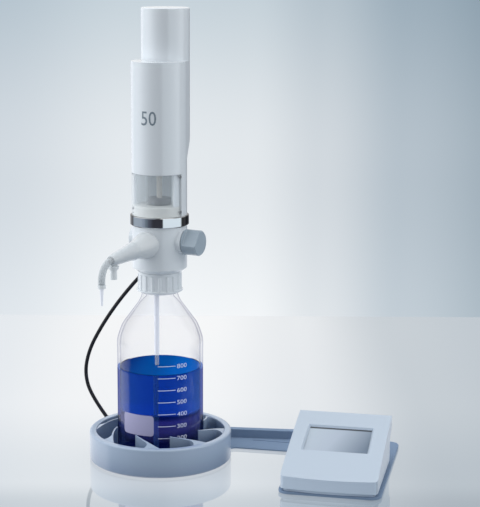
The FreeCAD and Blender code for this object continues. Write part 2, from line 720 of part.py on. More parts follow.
def discharge_arm():
    root = NOZZLE_NECK_END
    body = turned_along_nozzle([
        (root, 0), (root, ARM_ROOT_R - 0.9), (root + 0.3, ARM_ROOT_R - 0.35), (root + 0.9, ARM_ROOT_R),
        (root + ARM_ROOT_L, ARM_ROOT_R), (root + ARM_FLARE_L, ARM_FLARE_R),
        (root + ARM_TAPER_L, ARM_MID_R), (ARM_END - ARM_NOSE, ARM_END_R), (ARM_END - 2.5, ARM_END_R - 0.8),
        (ARM_END - 0.8, ARM_END_R - 1.6), (ARM_END, TUBE_R + 1.0), (ARM_END, 0)])
    spigot = rod(CAP_BORE - RUN, along_nozzle(CAP_AT).z - cap_top() + CAP_FLANGE_T + 4,
                 V(0, cap_y(), cap_top() - CAP_FLANGE_T - 4))
    seat = outlet_seat()
    stop = math.sqrt(BALL_R ** 2 - CHANNEL_R ** 2)
    pocket_end = seat + ball_height() + BALL_LIFT + stop + RUN
    bore = turned_along_nozzle([
        (root - 1, 0), (root - 1, CHANNEL_R + 1.8), (seat, CHANNEL_R + 1.8), (seat, BALL_POCKET),
        (pocket_end, BALL_POCKET), (pocket_end, CHANNEL_R), (ARM_END - TUBE_INSET, CHANNEL_R),
        (ARM_END - TUBE_INSET, TUBE_R), (ARM_END + 1, TUBE_R), (ARM_END + 1, 0)])
    return body.fuse(spigot).removeSplitter().cut(bore)


def tube_path():
    """Centre line of the bent tube: out of the arm, round a bend, straight down to the ferrule."""
    drop = math.radians(NOZZLE_DROP)
    start = along_nozzle(ARM_END - TUBE_INSET)
    bend = along_nozzle(ARM_END + 1.0)
    centre = bend - V(0, math.sin(drop) * -1, math.cos(drop)) * TUBE_BEND
    half = math.radians((90 - NOZZLE_DROP) / 2)
    middle = centre + V(0, -math.sin(half + drop), math.cos(half + drop)) * TUBE_BEND
    end = centre + V(0, -TUBE_BEND, 0)
    bottom = V(0, end.y, FERRULE_TOP - 2.0)
    return start, bend, middle, end, bottom


def tip_y():
    return tube_path()[4].y


def discharge_tube():
    start, bend, middle, end, bottom = tube_path()
    path = Part.Wire([line(start, bend), arc(bend, middle, end), line(end, bottom)])
    shapes = []
    for radius in (TUBE_R, TUBE_BORE):
        ring = Part.Wire([Part.Circle(start, NOZZLE_DIR, radius).toShape()])
        shapes.append(path.makePipeShell([ring], True, False))
    return shapes[0].cut(shapes[1])


def tip_ferrule():
    low = FERRULE_TOP - FERRULE_H
    body = rod(FERRULE_R, FERRULE_H, V(0, tip_y(), low))
    body = body.cut(rod(TUBE_R, FERRULE_H, V(0, tip_y(), FERRULE_TOP - 2.0)))
    return body.cut(rod(TIP_R, FERRULE_H, V(0, tip_y(), low)))


def discharge_tip():
    low = FERRULE_TOP - FERRULE_H
    shank = rod(TIP_R, FERRULE_H - 2.0, V(0, tip_y(), low))
    cone = Part.makeCone(TIP_END_R, TIP_R, TIP_L, V(0, tip_y(), low - TIP_L))
    bore = rod(TIP_BORE, TIP_L + FERRULE_H, V(0, tip_y(), low - TIP_L))
    return shank.fuse(cone).removeSplitter().cut(bore)


def cap_y():
    return along_nozzle(CAP_AT).y


def cap_top():
    return along_nozzle(CAP_AT).z - ARM_END_R - GAP


def tip_cap():
    top = cap_top()
    flange_low = V(0, cap_y(), top - CAP_FLANGE_T)
    flange = Part.makeCone(CAP_FLANGE_R - 0.7, CAP_FLANGE_R, CAP_FLANGE_T, flange_low)
    stem = rod(CAP_STEM_R, CAP_STEM_L, flange_low - V(0, 0, CAP_STEM_L))
    bore = rod(CAP_BORE, CAP_FLANGE_T + 5, flange_low - V(0, 0, 5))
    return flange.fuse(stem).removeSplitter().cut(bore)


# Locking ring, cylinder and piston

def lock_ring():
    return turned([
        (LOCK_BORE, SHOULDER_Z), (LOCK_R - 1.0, SHOULDER_Z), (LOCK_R, SHOULDER_Z + 1.0),
        (LOCK_R, LOCK_TOP - 0.6), (LOCK_R - 0.6, LOCK_TOP), (LOCK_BORE, LOCK_TOP)])


def cylinder_seat():
    inner = GLASS_R - GLASS_WALL
    body = turned([
        (0, BLOCK_TOP), (LOCK_BORE - RUN, BLOCK_TOP), (LOCK_BORE - RUN, LOCK_TOP), (SEAT_R, LOCK_TOP),
        (SEAT_R, SEAT_TOP - 0.8), (SEAT_R - 0.8, SEAT_TOP), (GLASS_R, SEAT_TOP), (GLASS_R, GLASS_Z),
        (inner, GLASS_Z), (inner, SEAT_TOP), (0, SEAT_TOP)])
    for shank in screw_shanks():
        body = body.cut(shank)
    return body.cut(rod(CHANNEL_R, SEAT_TOP, V(0, 0, BLOCK_TOP)))


def glass_cylinder():
    return pipe(GLASS_R, GLASS_R - GLASS_WALL, GLASS_L, V(0, 0, GLASS_Z))


def cylinder_head():
    inner = GLASS_R - GLASS_WALL
    low = GLASS_TOP - GLASS_SUNK
    body = turned([
        (GLASS_R, low), (HEAD_BELL_R - 1, low), (HEAD_BELL_R, low + 1), (HEAD_BELL_R, BELL_TOP),
        (0, BELL_TOP), (0, BELL_TOP - 3.5), (inner, BELL_TOP - 3.5), (inner, GLASS_TOP),
        (GLASS_R, GLASS_TOP)])
    return body.cut(rod(ROD_R + RUN, HEAD_BELL_H, V(0, 0, low)))


def piston_z():
    return SEAT_TOP + PISTON_REST


def piston():
    radius = GLASS_R - GLASS_WALL - PISTON_CLEAR
    return turned([
        (0, piston_z()), (radius - 1.2, piston_z()), (radius, piston_z() + 1.2), (radius, piston_z() + 2.2),
        (radius - 1.4, piston_z() + 2.2), (radius - 1.4, piston_z() + 4.6), (radius, piston_z() + 4.6),
        (radius, piston_z() + PISTON_H), (0, piston_z() + PISTON_H)])


def piston_seal():
    radius = GLASS_R - GLASS_WALL
    return pipe(radius - RUN, radius - PISTON_CLEAR - 1.4, 2.4, V(0, 0, piston_z() + 2.2))


def piston_rod():
    return rod(ROD_R, ROD_L, V(0, 0, piston_z() + PISTON_H))


# Spindle drive

def gear_wheel(teeth, thickness):
    """Spur gear with straight-flanked teeth, centred on the origin."""
    pitch_r = GEAR_MODULE * teeth / 2
    tip_r = pitch_r + 0.85 * GEAR_MODULE
    root_r = pitch_r - 1.15 * GEAR_MODULE
    step = 360.0 / teeth
    points = []
    for index in range(teeth):
        middle = index * step
        points.append(polar(root_r, middle - step * 0.36))
        points.append(polar(tip_r, middle - step * 0.12))
        points.append(polar(tip_r, middle + step * 0.12))
        points.append(polar(root_r, middle + step * 0.36))
    return polygon(points).extrude(V(0, 0, thickness))


def nut_gear():
    wheel = gear_wheel(NUT_TEETH, GEAR_T)
    wheel.translate(V(0, 0, GEAR_Z))
    hub = rod(BEARING_BORE - RUN, GEAR_Z - BELL_TOP - GAP, V(0, 0, BELL_TOP + GAP))
    bore = rod(ROD_R + RUN, GEAR_Z + GEAR_T - BELL_TOP, V(0, 0, BELL_TOP))
    return wheel.fuse(hub).removeSplitter().cut(bore)


def nut_bearing():
    ring = rod(BEARING_R, GEAR_PLATE_T, V(0, 0, BELL_TOP))
    flange = rod(BEARING_R + 1.5, BEARING_FLANGE, V(0, 0, PLATE_Z))
    bore = rod(BEARING_BORE, GEAR_PLATE_T + BEARING_FLANGE, V(0, 0, BELL_TOP))
    return ring.fuse(flange).removeSplitter().cut(bore)


def motor_pinion():
    wheel = gear_wheel(PINION_TEETH, GEAR_T)
    wheel.rotate(V(0, 0, 0), UP, 90 + 180.0 / PINION_TEETH)
    wheel.translate(V(0, GEAR_SPAN, GEAR_Z))
    return wheel.cut(rod(SHAFT_R, GEAR_T, V(0, GEAR_SPAN, GEAR_Z)))


def motor_shaft():
    return rod(SHAFT_R, MOTOR_Z + 8 - GEAR_Z, V(0, GEAR_SPAN, GEAR_Z))


def hull_face(front_r, rear_r, shift, z):
    """Outline of two circles of different size with their two common tangents."""
    lean = math.asin((front_r - rear_r) / shift)
    normal = V(math.cos(lean), math.sin(lean), 0)
    mirror = V(-normal.x, normal.y, 0)
    base = V(0, 0, z)
    rear = V(0, shift, z)
    edges = [
        arc(base + mirror * front_r, base + V(0, -front_r, 0), base + normal * front_r),
        line(base + normal * front_r, rear + normal * rear_r),
        arc(rear + normal * rear_r, rear + V(0, rear_r, 0), rear + mirror * rear_r),
        line(rear + mirror * rear_r, base + mirror * front_r),
    ]
    return Part.Face(Part.Wire(edges))


def plate_outline(z, thickness):
    inset = SHELL_T + 0.1
    return hull_face(BLOCK_R - inset, REAR_R - inset, REAR_SHIFT, z).extrude(V(0, 0, thickness))


def post_places():
    radius = BLOCK_R - SHELL_T - POST_R - 1.8
    return [polar(radius, 18), polar(radius, 162), polar(radius, 270)]


def gear_plate():
    plate = plate_outline(BELL_TOP, GEAR_PLATE_T)
    return plate.cut(rod(BEARING_R, GEAR_PLATE_T, V(0, 0, BELL_TOP)))


def motor_plate():
    plate = plate_outline(MOTOR_PLATE_Z, MOTOR_PLATE_T)
    plate = plate.cut(rod(ROD_R + 2, MOTOR_PLATE_T, V(0, 0, MOTOR_PLATE_Z)))
    return plate.cut(rod(SHAFT_R + 2.5, MOTOR_PLATE_T, V(0, GEAR_SPAN, MOTOR_PLATE_Z)))


def plate_posts():
    posts = []
    for place in post_places():
        posts.append(rod(POST_R, MOTOR_PLATE_GAP, place + V(0, 0, PLATE_Z)))
    return Part.makeCompound(posts)


def drive_motor():
    centre = V(0, GEAR_SPAN, 0)
    can = rod(MOTOR_R, MOTOR_L, centre + V(0, 0, MOTOR_Z))
    rim = [edge for edge in can.Edges if edge.BoundBox.ZMin > MOTOR_Z + MOTOR_L - 0.01]
    can = can.makeFillet(1.0, rim)
    cap = rod(MOTOR_R - 4, 4, centre + V(0, 0, MOTOR_Z + MOTOR_L))
    bore = rod(SHAFT_R + RUN, 9, centre + V(0, 0, MOTOR_Z))
    return can.fuse(cap).removeSplitter().cut(bore)


def drive_board():
    board = block(BOARD_W, BOARD_T, BOARD_H, V(-BOARD_W / 2, BOARD_Y, MOTOR_Z))
    chip = block(9, 1.4, 9, V(-4.5, BOARD_Y + BOARD_T, MOTOR_Z + (BOARD_H - 9) / 2))
    plug = block(12, 4, 5, V(-14, BOARD_Y + BOARD_T, MOTOR_Z + 3))
    return joined([board, chip, plug])


# Covers of the drive

def overhang_wedge(lift):
    """Everything below the slanted underside of the rear overhang, as a tall prism."""
    reach = 80.0
    z_mid = OVERHANG_Z + lift
    profile = polygon([
        V(-reach, OVERHANG_Y - reach, z_mid - OVERHANG_SLOPE * reach),
        V(-reach, OVERHANG_Y + reach, z_mid + OVERHANG_SLOPE * reach),
        V(-reach, OVERHANG_Y + reach, z_mid - OVERHANG_SLOPE * reach),
    ])
    return profile.extrude(V(2 * reach, 0, 0))


def housing_body(inset, low, high, lift):
    front = rod(BLOCK_R - inset, high - low, V(0, 0, low))
    rear = hull_face(BLOCK_R - inset, REAR_R - inset, REAR_SHIFT, WINDOW_TOP + 4)
    rear = rear.extrude(V(0, 0, high - WINDOW_TOP - 4))
    return front.fuse(rear.cut(overhang_wedge(lift)))


def window_sector(radius, low, high, span):
    """Wedge of a cylinder, centred on the nozzle side."""
    start = 270 - span / 2
    return Part.makeCylinder(radius, high - low, V(0, 0, low), UP, span).rotated(V(0, 0, 0), UP, start)


def cover_zone(grow):
    return block(2 * COVER_HALF + 2 * grow, REAR_SHIFT + REAR_R, COVER_HIGH - COVER_LOW + 2 * grow,
                 V(-COVER_HALF - grow, REAR_SHIFT, COVER_LOW - grow))


def housing_shell():
    lift = SHELL_T * math.sqrt(1 + OVERHANG_SLOPE ** 2)
    outer = housing_body(0.0, LOCK_TOP, SHELF_Z, 0.0)
    inner = housing_body(SHELL_T, LOCK_TOP, SHELF_Z - SHELL_T, lift)
    throat = rod(REAR_R - SHELL_T, SHELL_T, V(0, REAR_SHIFT, SHELF_Z - SHELL_T))
    return outer.cut(inner).cut(throat)


def drive_housing():
    shell = housing_shell()
    shell = shell.cut(window_sector(BLOCK_R + 1, LOCK_TOP, WINDOW_TOP, WINDOW_SPAN))
    low = SEAT_TOP + GAP
    lug_span = WINDOW_SPAN + 2 * LUG_SPREAD
    hollow = rod(BLOCK_R - SHELL_T - LUG_T, WINDOW_TOP - low, V(0, 0, low))
    lug = window_sector(BLOCK_R - SHELL_T - 0.1, low, WINDOW_TOP, lug_span)
    lug = lug.cut(window_sector(BLOCK_R, low, WINDOW_TOP, WINDOW_SPAN - 2 * LUG_LAP))
    lug = lug.cut(hollow)
    root = window_sector(BLOCK_R - SHELL_T + 0.5, low, WINDOW_TOP, lug_span)
    root = root.cut(window_sector(BLOCK_R, low, WINDOW_TOP, WINDOW_SPAN + 1))
    root = root.cut(hollow)
    body = joined([shell, lug.fuse(root)])
    for shank in screw_shanks():
        body = body.cut(shank)
    return body.cut(cover_zone(SEAM)).cut(head_gland_body(GLAND_R))


def rear_cover():
    return housing_shell().common(cover_zone(0.0))


def motor_housing():
    return pipe(REAR_R, REAR_R - SHELL_T, CAP_Z - SHELF_Z, V(0, REAR_SHIFT, SHELF_Z))


def top_cap():
    disc = rod(REAR_R, TOP_CAP_T, V(0, REAR_SHIFT, CAP_Z))
    rim = [edge for edge in disc.Edges if edge.BoundBox.ZMin > HEAD_TOP - 0.01]
    disc = disc.makeFillet(1.4, rim)
    spigot = pipe(REAR_R - SHELL_T - RUN, REAR_R - SHELL_T - 2, 2.0, V(0, REAR_SHIFT, CAP_Z - 2.0))
    return disc.fuse(spigot).removeSplitter()


def window_pane():
    radius = BLOCK_R
    pane = window_sector(radius, LOCK_TOP + SEAM, WINDOW_TOP - SEAM, WINDOW_SPAN - 0.6)
    pane = pane.cut(rod(radius - PANE_T, WINDOW_H, V(0, 0, LOCK_TOP)))
    for shank in screw_shanks():
        pane = pane.cut(shank)
    return pane


def screw_frames():
    frames = []
    for z in (WINDOW_TOP - 3.0, LOCK_TOP + 5.2):
        for side in (-1, 1):
            frames.append(polar(1.0, 270 + side * (WINDOW_SPAN / 2 - SCREW_EDGE)) + V(0, 0, z))
    return frames


def screw_shanks():
    shanks = []
    for frame in screw_frames():
        outward = V(frame.x, frame.y, 0)
        start = outward * (BLOCK_R - SHELL_T - 2.6) + V(0, 0, frame.z)
        shanks.append(rod(SCREW_R, SHELL_T + 2.6 + 0.2, start, outward))
    return shanks


def window_screws():
    solids = []
    for frame, shank in zip(screw_frames(), screw_shanks()):
        outward = V(frame.x, frame.y, 0)
        head = rod(SCREW_HEAD_R, SCREW_HEAD_H, outward * BLOCK_R + V(0, 0, frame.z), outward)
        head = head.cut(rod(BLOCK_R, 8, V(0, 0, frame.z - 4)))
        solids.append(shank.fuse(head).removeSplitter())
    return Part.makeCompound(solids)


def head_gland_body(radius):
    return rod(radius, HEAD_GLAND_L, V(0, HEAD_GLAND_Y, HEAD_GLAND_Z))


def cable_gland():
    top = HEAD_GLAND_L
    cone = Part.makeCone(CABLE_R + 0.9, GLAND_R, top * 0.45, V(0, HEAD_GLAND_Y, HEAD_GLAND_Z))
    stem = rod(GLAND_R, top * 0.55, V(0, HEAD_GLAND_Y, HEAD_GLAND_Z + top * 0.45))
    return cone.fuse(stem).removeSplitter()


# Cable

def cable_route():
    """Corners of the cable from the head's gland to the holder's gland."""
    turn = math.radians(HEAD_TURN)
    high = V(-HEAD_GLAND_Y * math.sin(turn), HEAD_GLAND_Y * math.cos(turn), HEAD_GLAND_Z)
    low = polar(RING_R + BASE_GLAND_OUT, BASE_GLAND_ANGLE, RING_TOP - BASE_GLAND_DROP)
    return [high + V(*point) for point in CABLE_HIGH] + [low + V(*point) for point in CABLE_LOW]


def cable_tube(points, radius):
    """Tube along straight runs joined by tangent arcs, each as large as its two runs allow."""
    edges = []
    radii = []
    start = points[0]
    for before, corner, after in zip(points, points[1:], points[2:]):
        into = (corner - before).normalize()
        out = (after - corner).normalize()
        half = into.getAngle(out) / 2
        reach = 0.45 * min((corner - before).Length, (after - corner).Length)
        bend = reach / math.tan(half)
        radii.append(round(bend, 1))
        first = corner - into * reach
        last = corner + out * reach
        inward = (out - into).normalize()
        middle = corner + inward * (bend / math.cos(half) - bend)
        edges.append(line(start, first))
        edges.append(arc(first, middle, last))
        start = last
    edges.append(line(start, points[-1]))
    path = Part.Wire(edges)
    ring = Part.Wire([Part.Circle(points[0], points[1] - points[0], radius).toShape()])
    tube = path.makePipeShell([ring], True, False)
    expected = math.pi * radius ** 2 * path.Length
    print("cable length", round(path.Length, 1), "radii", radii)
    print("cable volume", round(tube.Volume, 1), "expected", round(expected, 1))
    return tube


def drive_cable():
    return cable_tube(cable_route(), CABLE_R)


# Control unit

def unit_slope():
    return math.atan2(UNIT_BACK_Z - UNIT_FRONT_Z, UNIT_BACK - UNIT_FRONT)


def on_slope(shape):
    """Moves a piece drawn with X right, Y up the slope and Z out of it onto the unit's top."""
    shape.rotate(V(0, 0, 0), RIGHT, math.degrees(unit_slope()))
    shape.translate(V(UNIT_LEFT, UNIT_FRONT, UNIT_FRONT_Z))
    return shape


def unit_plan(inset, low, high, back):
    """Plan of the unit with a bowed front, as an upright prism."""
    left = UNIT_LEFT + inset
    right = UNIT_LEFT + UNIT_W - inset
    front = UNIT_FRONT + inset
    middle = (left + right) / 2
    edges = [
        arc(V(left, front, low), V(middle, front - UNIT_BOW, low), V(right, front, low)),
        line(V(right, front, low), V(right, back - inset, low)),
        line(V(right, back - inset, low), V(left, back - inset, low)),
        line(V(left, back - inset, low), V(left, front, low)),
    ]
    return Part.Face(Part.Wire(edges)).extrude(V(0, 0, high - low))


def unit_side(inset, low):
    """Side profile of the unit's upper shell, extruded over its width."""
    slope = unit_slope()
    rise = V(0, -math.sin(slope), math.cos(slope))
    front = V(0, UNIT_FRONT - 12, UNIT_FRONT_Z - 12 * math.tan(slope)) - rise * inset
    back = V(0, UNIT_BACK, UNIT_BACK_Z) - rise * inset
    middle = (V(0, UNIT_FRONT, UNIT_FRONT_Z) + V(0, UNIT_BACK, UNIT_BACK_Z)) * 0.5 + rise * (UNIT_BULGE - inset)
    tail = UNIT_BACK + UNIT_TAIL - inset
    edges = [
        arc(front, middle, back),
        line(back, V(0, tail, UNIT_BACK_Z - 5 - inset / 2)),
        line(V(0, tail, UNIT_BACK_Z - 5 - inset / 2), V(0, tail, UNIT_TAIL_Z + inset)),
        line(V(0, tail, UNIT_TAIL_Z + inset), V(0, UNIT_FOOT_BACK + 2 - inset, UNIT_UNDERCUT_Z + inset / 2)),
        line(V(0, UNIT_FOOT_BACK + 2 - inset, UNIT_UNDERCUT_Z + inset / 2), V(0, UNIT_FOOT_BACK - inset, low)),
        line(V(0, UNIT_FOOT_BACK - inset, low), V(0, UNIT_FRONT - 12, low)),
        line(V(0, UNIT_FRONT - 12, low), front),
    ]
    face = Part.Face(Part.Wire(edges))
    face.translate(V(UNIT_LEFT + inset, 0, 0))
    return face.extrude(V(UNIT_W - 2 * inset, 0, 0))


def screen_seat():
    lap = SCREEN_LAP
    return on_slope(block(SCREEN_W + 2 * lap, SCREEN_L + 2 * lap, 12,
                          V(SCREEN_LEFT - lap, SCREEN_START - lap, -12 - SCREEN_DROP)))


def screen_recess():
    low = -SCREEN_DROP - 1
    rise = 8.0
    left = SCREEN_LEFT
    right = SCREEN_LEFT + SCREEN_W
    front = SCREEN_START
    back = SCREEN_START + SCREEN_L
    floor = Part.makePolygon([V(left, front, low), V(right, front, low), V(right, back, low),
                              V(left, back, low), V(left, front, low)])
    side = BEZEL_SIDE * rise / 2
    mouth = Part.makePolygon([
        V(left - side, front - BEZEL_FRONT * rise, low + rise),
        V(right + side, front - BEZEL_FRONT * rise, low + rise),
        V(right + side, back + BEZEL_BACK * rise, low + rise),
        V(left - side, back + BEZEL_BACK * rise, low + rise),
        V(left - side, front - BEZEL_FRONT * rise, low + rise)])
    return on_slope(Part.makeLoft([floor, mouth], True, True))


def unit_top_shell():
    tail = UNIT_BACK + UNIT_TAIL
    plan = unit_plan(0.0, 0, 80, tail)
    upright = [edge for edge in plan.Edges if edge.BoundBox.ZLength > 70]
    plan = plan.makeFillet(UNIT_CORNER, upright)
    outer = unit_side(0.0, UNIT_SKIRT_Z).common(plan)
    inner = unit_side(UNIT_WALL, UNIT_SKIRT_Z - 1).common(unit_plan(UNIT_WALL, 0, 80, tail))
    shell = outer.cut(inner).cut(screen_seat()).cut(screen_recess())
    socket = rod(SOCKET_R, 12, V(UNIT_LEFT + UNIT_W / 2, UNIT_FOOT_BACK - 8, 22), REAR)
    return shell.cut(socket)


def unit_bottom_shell():
    inset = UNIT_INSET
    plan = unit_plan(inset, TABLE_Z, UNIT_SKIRT_Z, UNIT_FOOT_BACK)
    upright = [edge for edge in plan.Edges if edge.BoundBox.ZLength > 1 and edge.BoundBox.XLength < 0.01]
    plan = plan.makeFillet(UNIT_CORNER, upright)
    lip = unit_plan(UNIT_WALL + 0.3, UNIT_SKIRT_Z, UNIT_SKIRT_Z + 3, UNIT_FOOT_BACK)
    lip = lip.cut(unit_plan(UNIT_WALL + 2.3, UNIT_SKIRT_Z, UNIT_SKIRT_Z + 3, UNIT_FOOT_BACK))
    hollow = unit_plan(inset + 2, TABLE_Z + 1.8, UNIT_SKIRT_Z, UNIT_FOOT_BACK)
    return joined([plan.cut(hollow), lip])


def touch_display():
    lap = SCREEN_LAP - 0.2
    return on_slope(block(SCREEN_W + 2 * lap, SCREEN_L + 2 * lap, SCREEN_T,
                          V(SCREEN_LEFT - lap, SCREEN_START - lap, -SCREEN_DROP - SCREEN_T)))


def display_panel():
    low = -SCREEN_DROP - SCREEN_T - PANEL_T
    return on_slope(block(SCREEN_W, SCREEN_L, PANEL_T, V(SCREEN_LEFT, SCREEN_START, low)))


def unit_board():
    low = -SCREEN_DROP - SCREEN_T - PANEL_T - BOARD_T
    board = block(SCREEN_W + 14, SCREEN_L + 18, BOARD_T, V(SCREEN_LEFT - 7, SCREEN_START - 14, low))
    chip = block(12, 12, 2, V(SCREEN_LEFT + 20, SCREEN_START + 18, low - 2))
    return on_slope(joined([board, chip]))


def unit_posts():
    """Four pillars that carry the electronics board from the bottom shell."""
    low = -SCREEN_DROP - SCREEN_T - PANEL_T - BOARD_T
    posts = []
    for x in (SCREEN_LEFT - 2, SCREEN_LEFT + SCREEN_W + 2):
        for along in (SCREEN_START - 9, SCREEN_START + SCREEN_L - 2):
            foot = on_slope(Part.Vertex(V(x, along, low))).Point
            post = rod(2.5, foot.z - TABLE_Z + 1, V(foot.x, foot.y, TABLE_Z + 1.8))
            cutter = on_slope(block(SCREEN_W + 60, 200, 40, V(-20, -20, low)))
            posts.append(post.cut(cutter))
    return Part.makeCompound(posts)


def rear_socket():
    at = V(UNIT_LEFT + UNIT_W / 2, UNIT_FOOT_BACK - 8, 22)
    return pipe(SOCKET_R, SOCKET_R - 1.6, SOCKET_L, at, REAR).fuse(
        rod(SOCKET_R, 1.5, at + V(0, -1.5, 0), REAR)).removeSplitter()


BASE_PIECES = {
    "holder_ring": holder_ring, "bottle_vanes": bottle_vanes, "link_arm": link_arm,
    "unit_plate": unit_plate, "base_feet": base_feet, "base_gland": base_gland,
    "bottle_glass": bottle_glass, "bottle_liquid": bottle_liquid, "drive_cable": drive_cable,
    "unit_top_shell": unit_top_shell, "unit_bottom_shell": unit_bottom_shell,
    "touch_display": touch_display, "display_panel": display_panel, "unit_board": unit_board,
    "unit_posts": unit_posts, "rear_socket": rear_socket,
}

HEAD_PIECES = {
    "thread_collar": thread_collar, "neck_seal": neck_seal, "valve_block": valve_block,
    "inlet_ball": inlet_ball, "outlet_ball": outlet_ball, "outlet_valve_seat": outlet_valve_seat,
    "suction_adapter": suction_adapter, "suction_tube_upper": suction_tube_upper,
    "suction_tube_lower": suction_tube_lower, "valve_plug": valve_plug,
    "recirculation_knob": recirculation_knob, "vent_plug": vent_plug, "discharge_arm": discharge_arm,
    "discharge_tube": discharge_tube, "tip_ferrule": tip_ferrule, "discharge_tip": discharge_tip,
    "tip_cap": tip_cap, "lock_ring": lock_ring, "cylinder_seat": cylinder_seat,
    "glass_cylinder": glass_cylinder, "cylinder_head": cylinder_head, "piston": piston,
    "piston_seal": piston_seal, "piston_rod": piston_rod, "nut_gear": nut_gear,
    "nut_bearing": nut_bearing, "motor_pinion": motor_pinion, "motor_shaft": motor_shaft,
    "gear_plate": gear_plate, "motor_plate": motor_plate, "plate_posts": plate_posts,
    "drive_motor": drive_motor, "drive_board": drive_board, "drive_housing": drive_housing,
    "rear_cover": rear_cover, "motor_housing": motor_housing, "top_cap": top_cap,
    "window_pane": window_pane, "window_screws": window_screws, "cable_gland": cable_gland,
}

os.makedirs("parts", exist_ok=True)
for name, make in BASE_PIECES.items():
    make().exportStep("parts/" + name + ".step")
for name, make in HEAD_PIECES.items():
    piece = make()
    piece.rotate(V(0, 0, 0), UP, HEAD_TURN)
    piece.exportStep("parts/" + name + ".step")
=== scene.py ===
# Looks, bottle, print, cable and stage of the motorized titration dispenser.
# Sizes are in millimetres in the frame of the CAD model, apart from the stage's, which are in metres.
import math

import bmesh
import bpy
import numpy as np
from mathutils import Matrix, Vector


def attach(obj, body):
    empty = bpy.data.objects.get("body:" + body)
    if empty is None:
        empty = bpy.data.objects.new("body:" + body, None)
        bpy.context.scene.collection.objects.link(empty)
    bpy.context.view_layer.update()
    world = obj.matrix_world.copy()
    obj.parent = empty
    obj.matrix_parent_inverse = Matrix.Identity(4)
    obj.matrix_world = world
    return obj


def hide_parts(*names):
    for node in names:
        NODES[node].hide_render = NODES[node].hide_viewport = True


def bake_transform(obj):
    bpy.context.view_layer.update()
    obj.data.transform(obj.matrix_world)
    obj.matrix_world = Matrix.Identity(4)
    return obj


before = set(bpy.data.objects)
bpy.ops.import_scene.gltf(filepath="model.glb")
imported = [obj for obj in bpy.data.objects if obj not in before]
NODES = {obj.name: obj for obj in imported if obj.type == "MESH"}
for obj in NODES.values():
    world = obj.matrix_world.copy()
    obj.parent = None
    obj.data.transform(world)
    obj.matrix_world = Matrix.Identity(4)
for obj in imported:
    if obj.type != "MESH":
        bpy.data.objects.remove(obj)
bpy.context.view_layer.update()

MM = 0.001
UP = Vector((0, 0, 1))

FLOOR_Z = 4.2      # the bottle's underside
BOTTLE_R = 50.5
BOTTLE_H = 225
BOTTLE_WALL = 3.0
LEVEL_Z = 111.9    # top of the reagent
BLOCK_R = 31.9     # valve block and drive housing
CABLE_R = 2.25


# Nodes

def tone(red, green, blue):
    """A colour given as it looks on a screen, 0 to 255."""
    made = []
    for value in (red, green, blue):
        share = value / 255
        made.append(share / 12.92 if share <= 0.04045 else ((share + 0.055) / 1.055) ** 2.4)
    return (*made, 1.0)


def grey(value):
    return (value, value, value, 1)


def put(tree, slot, value):
    """Link a socket to an input, or set a plain value there."""
    if isinstance(value, bpy.types.NodeSocket):
        tree.links.new(value, slot)
    else:
        slot.default_value = value


def node(tree, kind, **inputs):
    made = tree.nodes.new("ShaderNode" + kind)
    for name, value in inputs.items():
        put(tree, made.inputs[name.replace("_", " ")], value)
    return made


def pair(tree, kind, first, second, how=None):
    """A node of two inputs: an operation on two values, or the sum of two shaders."""
    made = tree.nodes.new("ShaderNode" + kind)
    if how:
        made.operation = how
    put(tree, made.inputs[0], first)
    put(tree, made.inputs[1], second)
    return made


def spread(tree, value, low, high):
    """0 where a value is low, 1 where it is high."""
    return node(tree, "MapRange", Value=value, From_Min=low, From_Max=high).outputs["Result"]


def dotted(tree, space, direction):
    """How far a place (Object) or a way into the studio (Generated) goes along a direction."""
    source = node(tree, "TexCoord").outputs[space]
    return pair(tree, "VectorMath", source, direction, "DOT_PRODUCT").outputs["Value"]


def along(tree, direction, low, high):
    """From 0 to 1 along a direction, between two distances in metres."""
    return spread(tree, dotted(tree, "Object", direction), low, high)


def turned_away(tree, blend=0.5):
    """From 0 where a surface faces the eye to 1 where it turns away."""
    return node(tree, "LayerWeight", Blend=blend).outputs["Facing"]


def ramp(tree, value, stops, easing="EASE"):
    made = node(tree, "ValToRGB", Fac=value)
    made.color_ramp.interpolation = easing
    points = made.color_ramp.elements
    while len(points) < len(stops):
        points.new(0.5)
    for point, (at, colour) in zip(points, stops):
        point.position = at
        point.color = colour
    return made.outputs["Color"]


def mixed(tree, share, first, second, how="MIX"):
    """Two colours mixed."""
    made = tree.nodes.new("ShaderNodeMix")
    made.data_type = "RGBA"
    made.blend_type = how
    put(tree, made.inputs["Factor"], share)
    put(tree, made.inputs["A"], first)
    put(tree, made.inputs["B"], second)
    return made.outputs["Result"]


def times(tree, first, second):
    return mixed(tree, 1.0, first, second, "MULTIPLY")


def layered(tree, share, first, second):
    """Two shaders mixed."""
    made = tree.nodes.new("ShaderNodeMixShader")
    for slot, value in zip(made.inputs, (share, first, second)):
        put(tree, slot, value)
    return made.outputs[0]


def bare_look(name):
    """A material with nothing but its output node."""
    made = bpy.data.materials.new(name)
    made.use_nodes = True
    made.node_tree.nodes.clear()
    return made, made.node_tree, made.node_tree.nodes.new("ShaderNodeOutputMaterial")


# Kinds of look

def material(name, colour, rough, metal=0.0, **more):
    made = bpy.data.materials.new(name)
    made.use_nodes = True
    shader = made.node_tree.nodes["Principled BSDF"]
    shader.inputs["Base Color"].default_value = colour
    shader.inputs["Roughness"].default_value = rough
    shader.inputs["Metallic"].default_value = metal
    for key, value in more.items():
        shader.inputs[key.replace("_", " ")].default_value = value
    return made


def coated(name, colour, rough, coat_ior, coat_rough):
    """Plastic with a clear shiny skin."""
    return material(name, colour, rough, Coat_Weight=1.0, Coat_IOR=coat_ior, Coat_Roughness=coat_rough)


def lit(name, colour, rough, glow_colour, glow, **more):
    """Plastic with a painted glow: painted light for a place that light reaches poorly."""
    return material(name, colour, rough, Emission_Color=glow_colour, Emission_Strength=glow, **more)


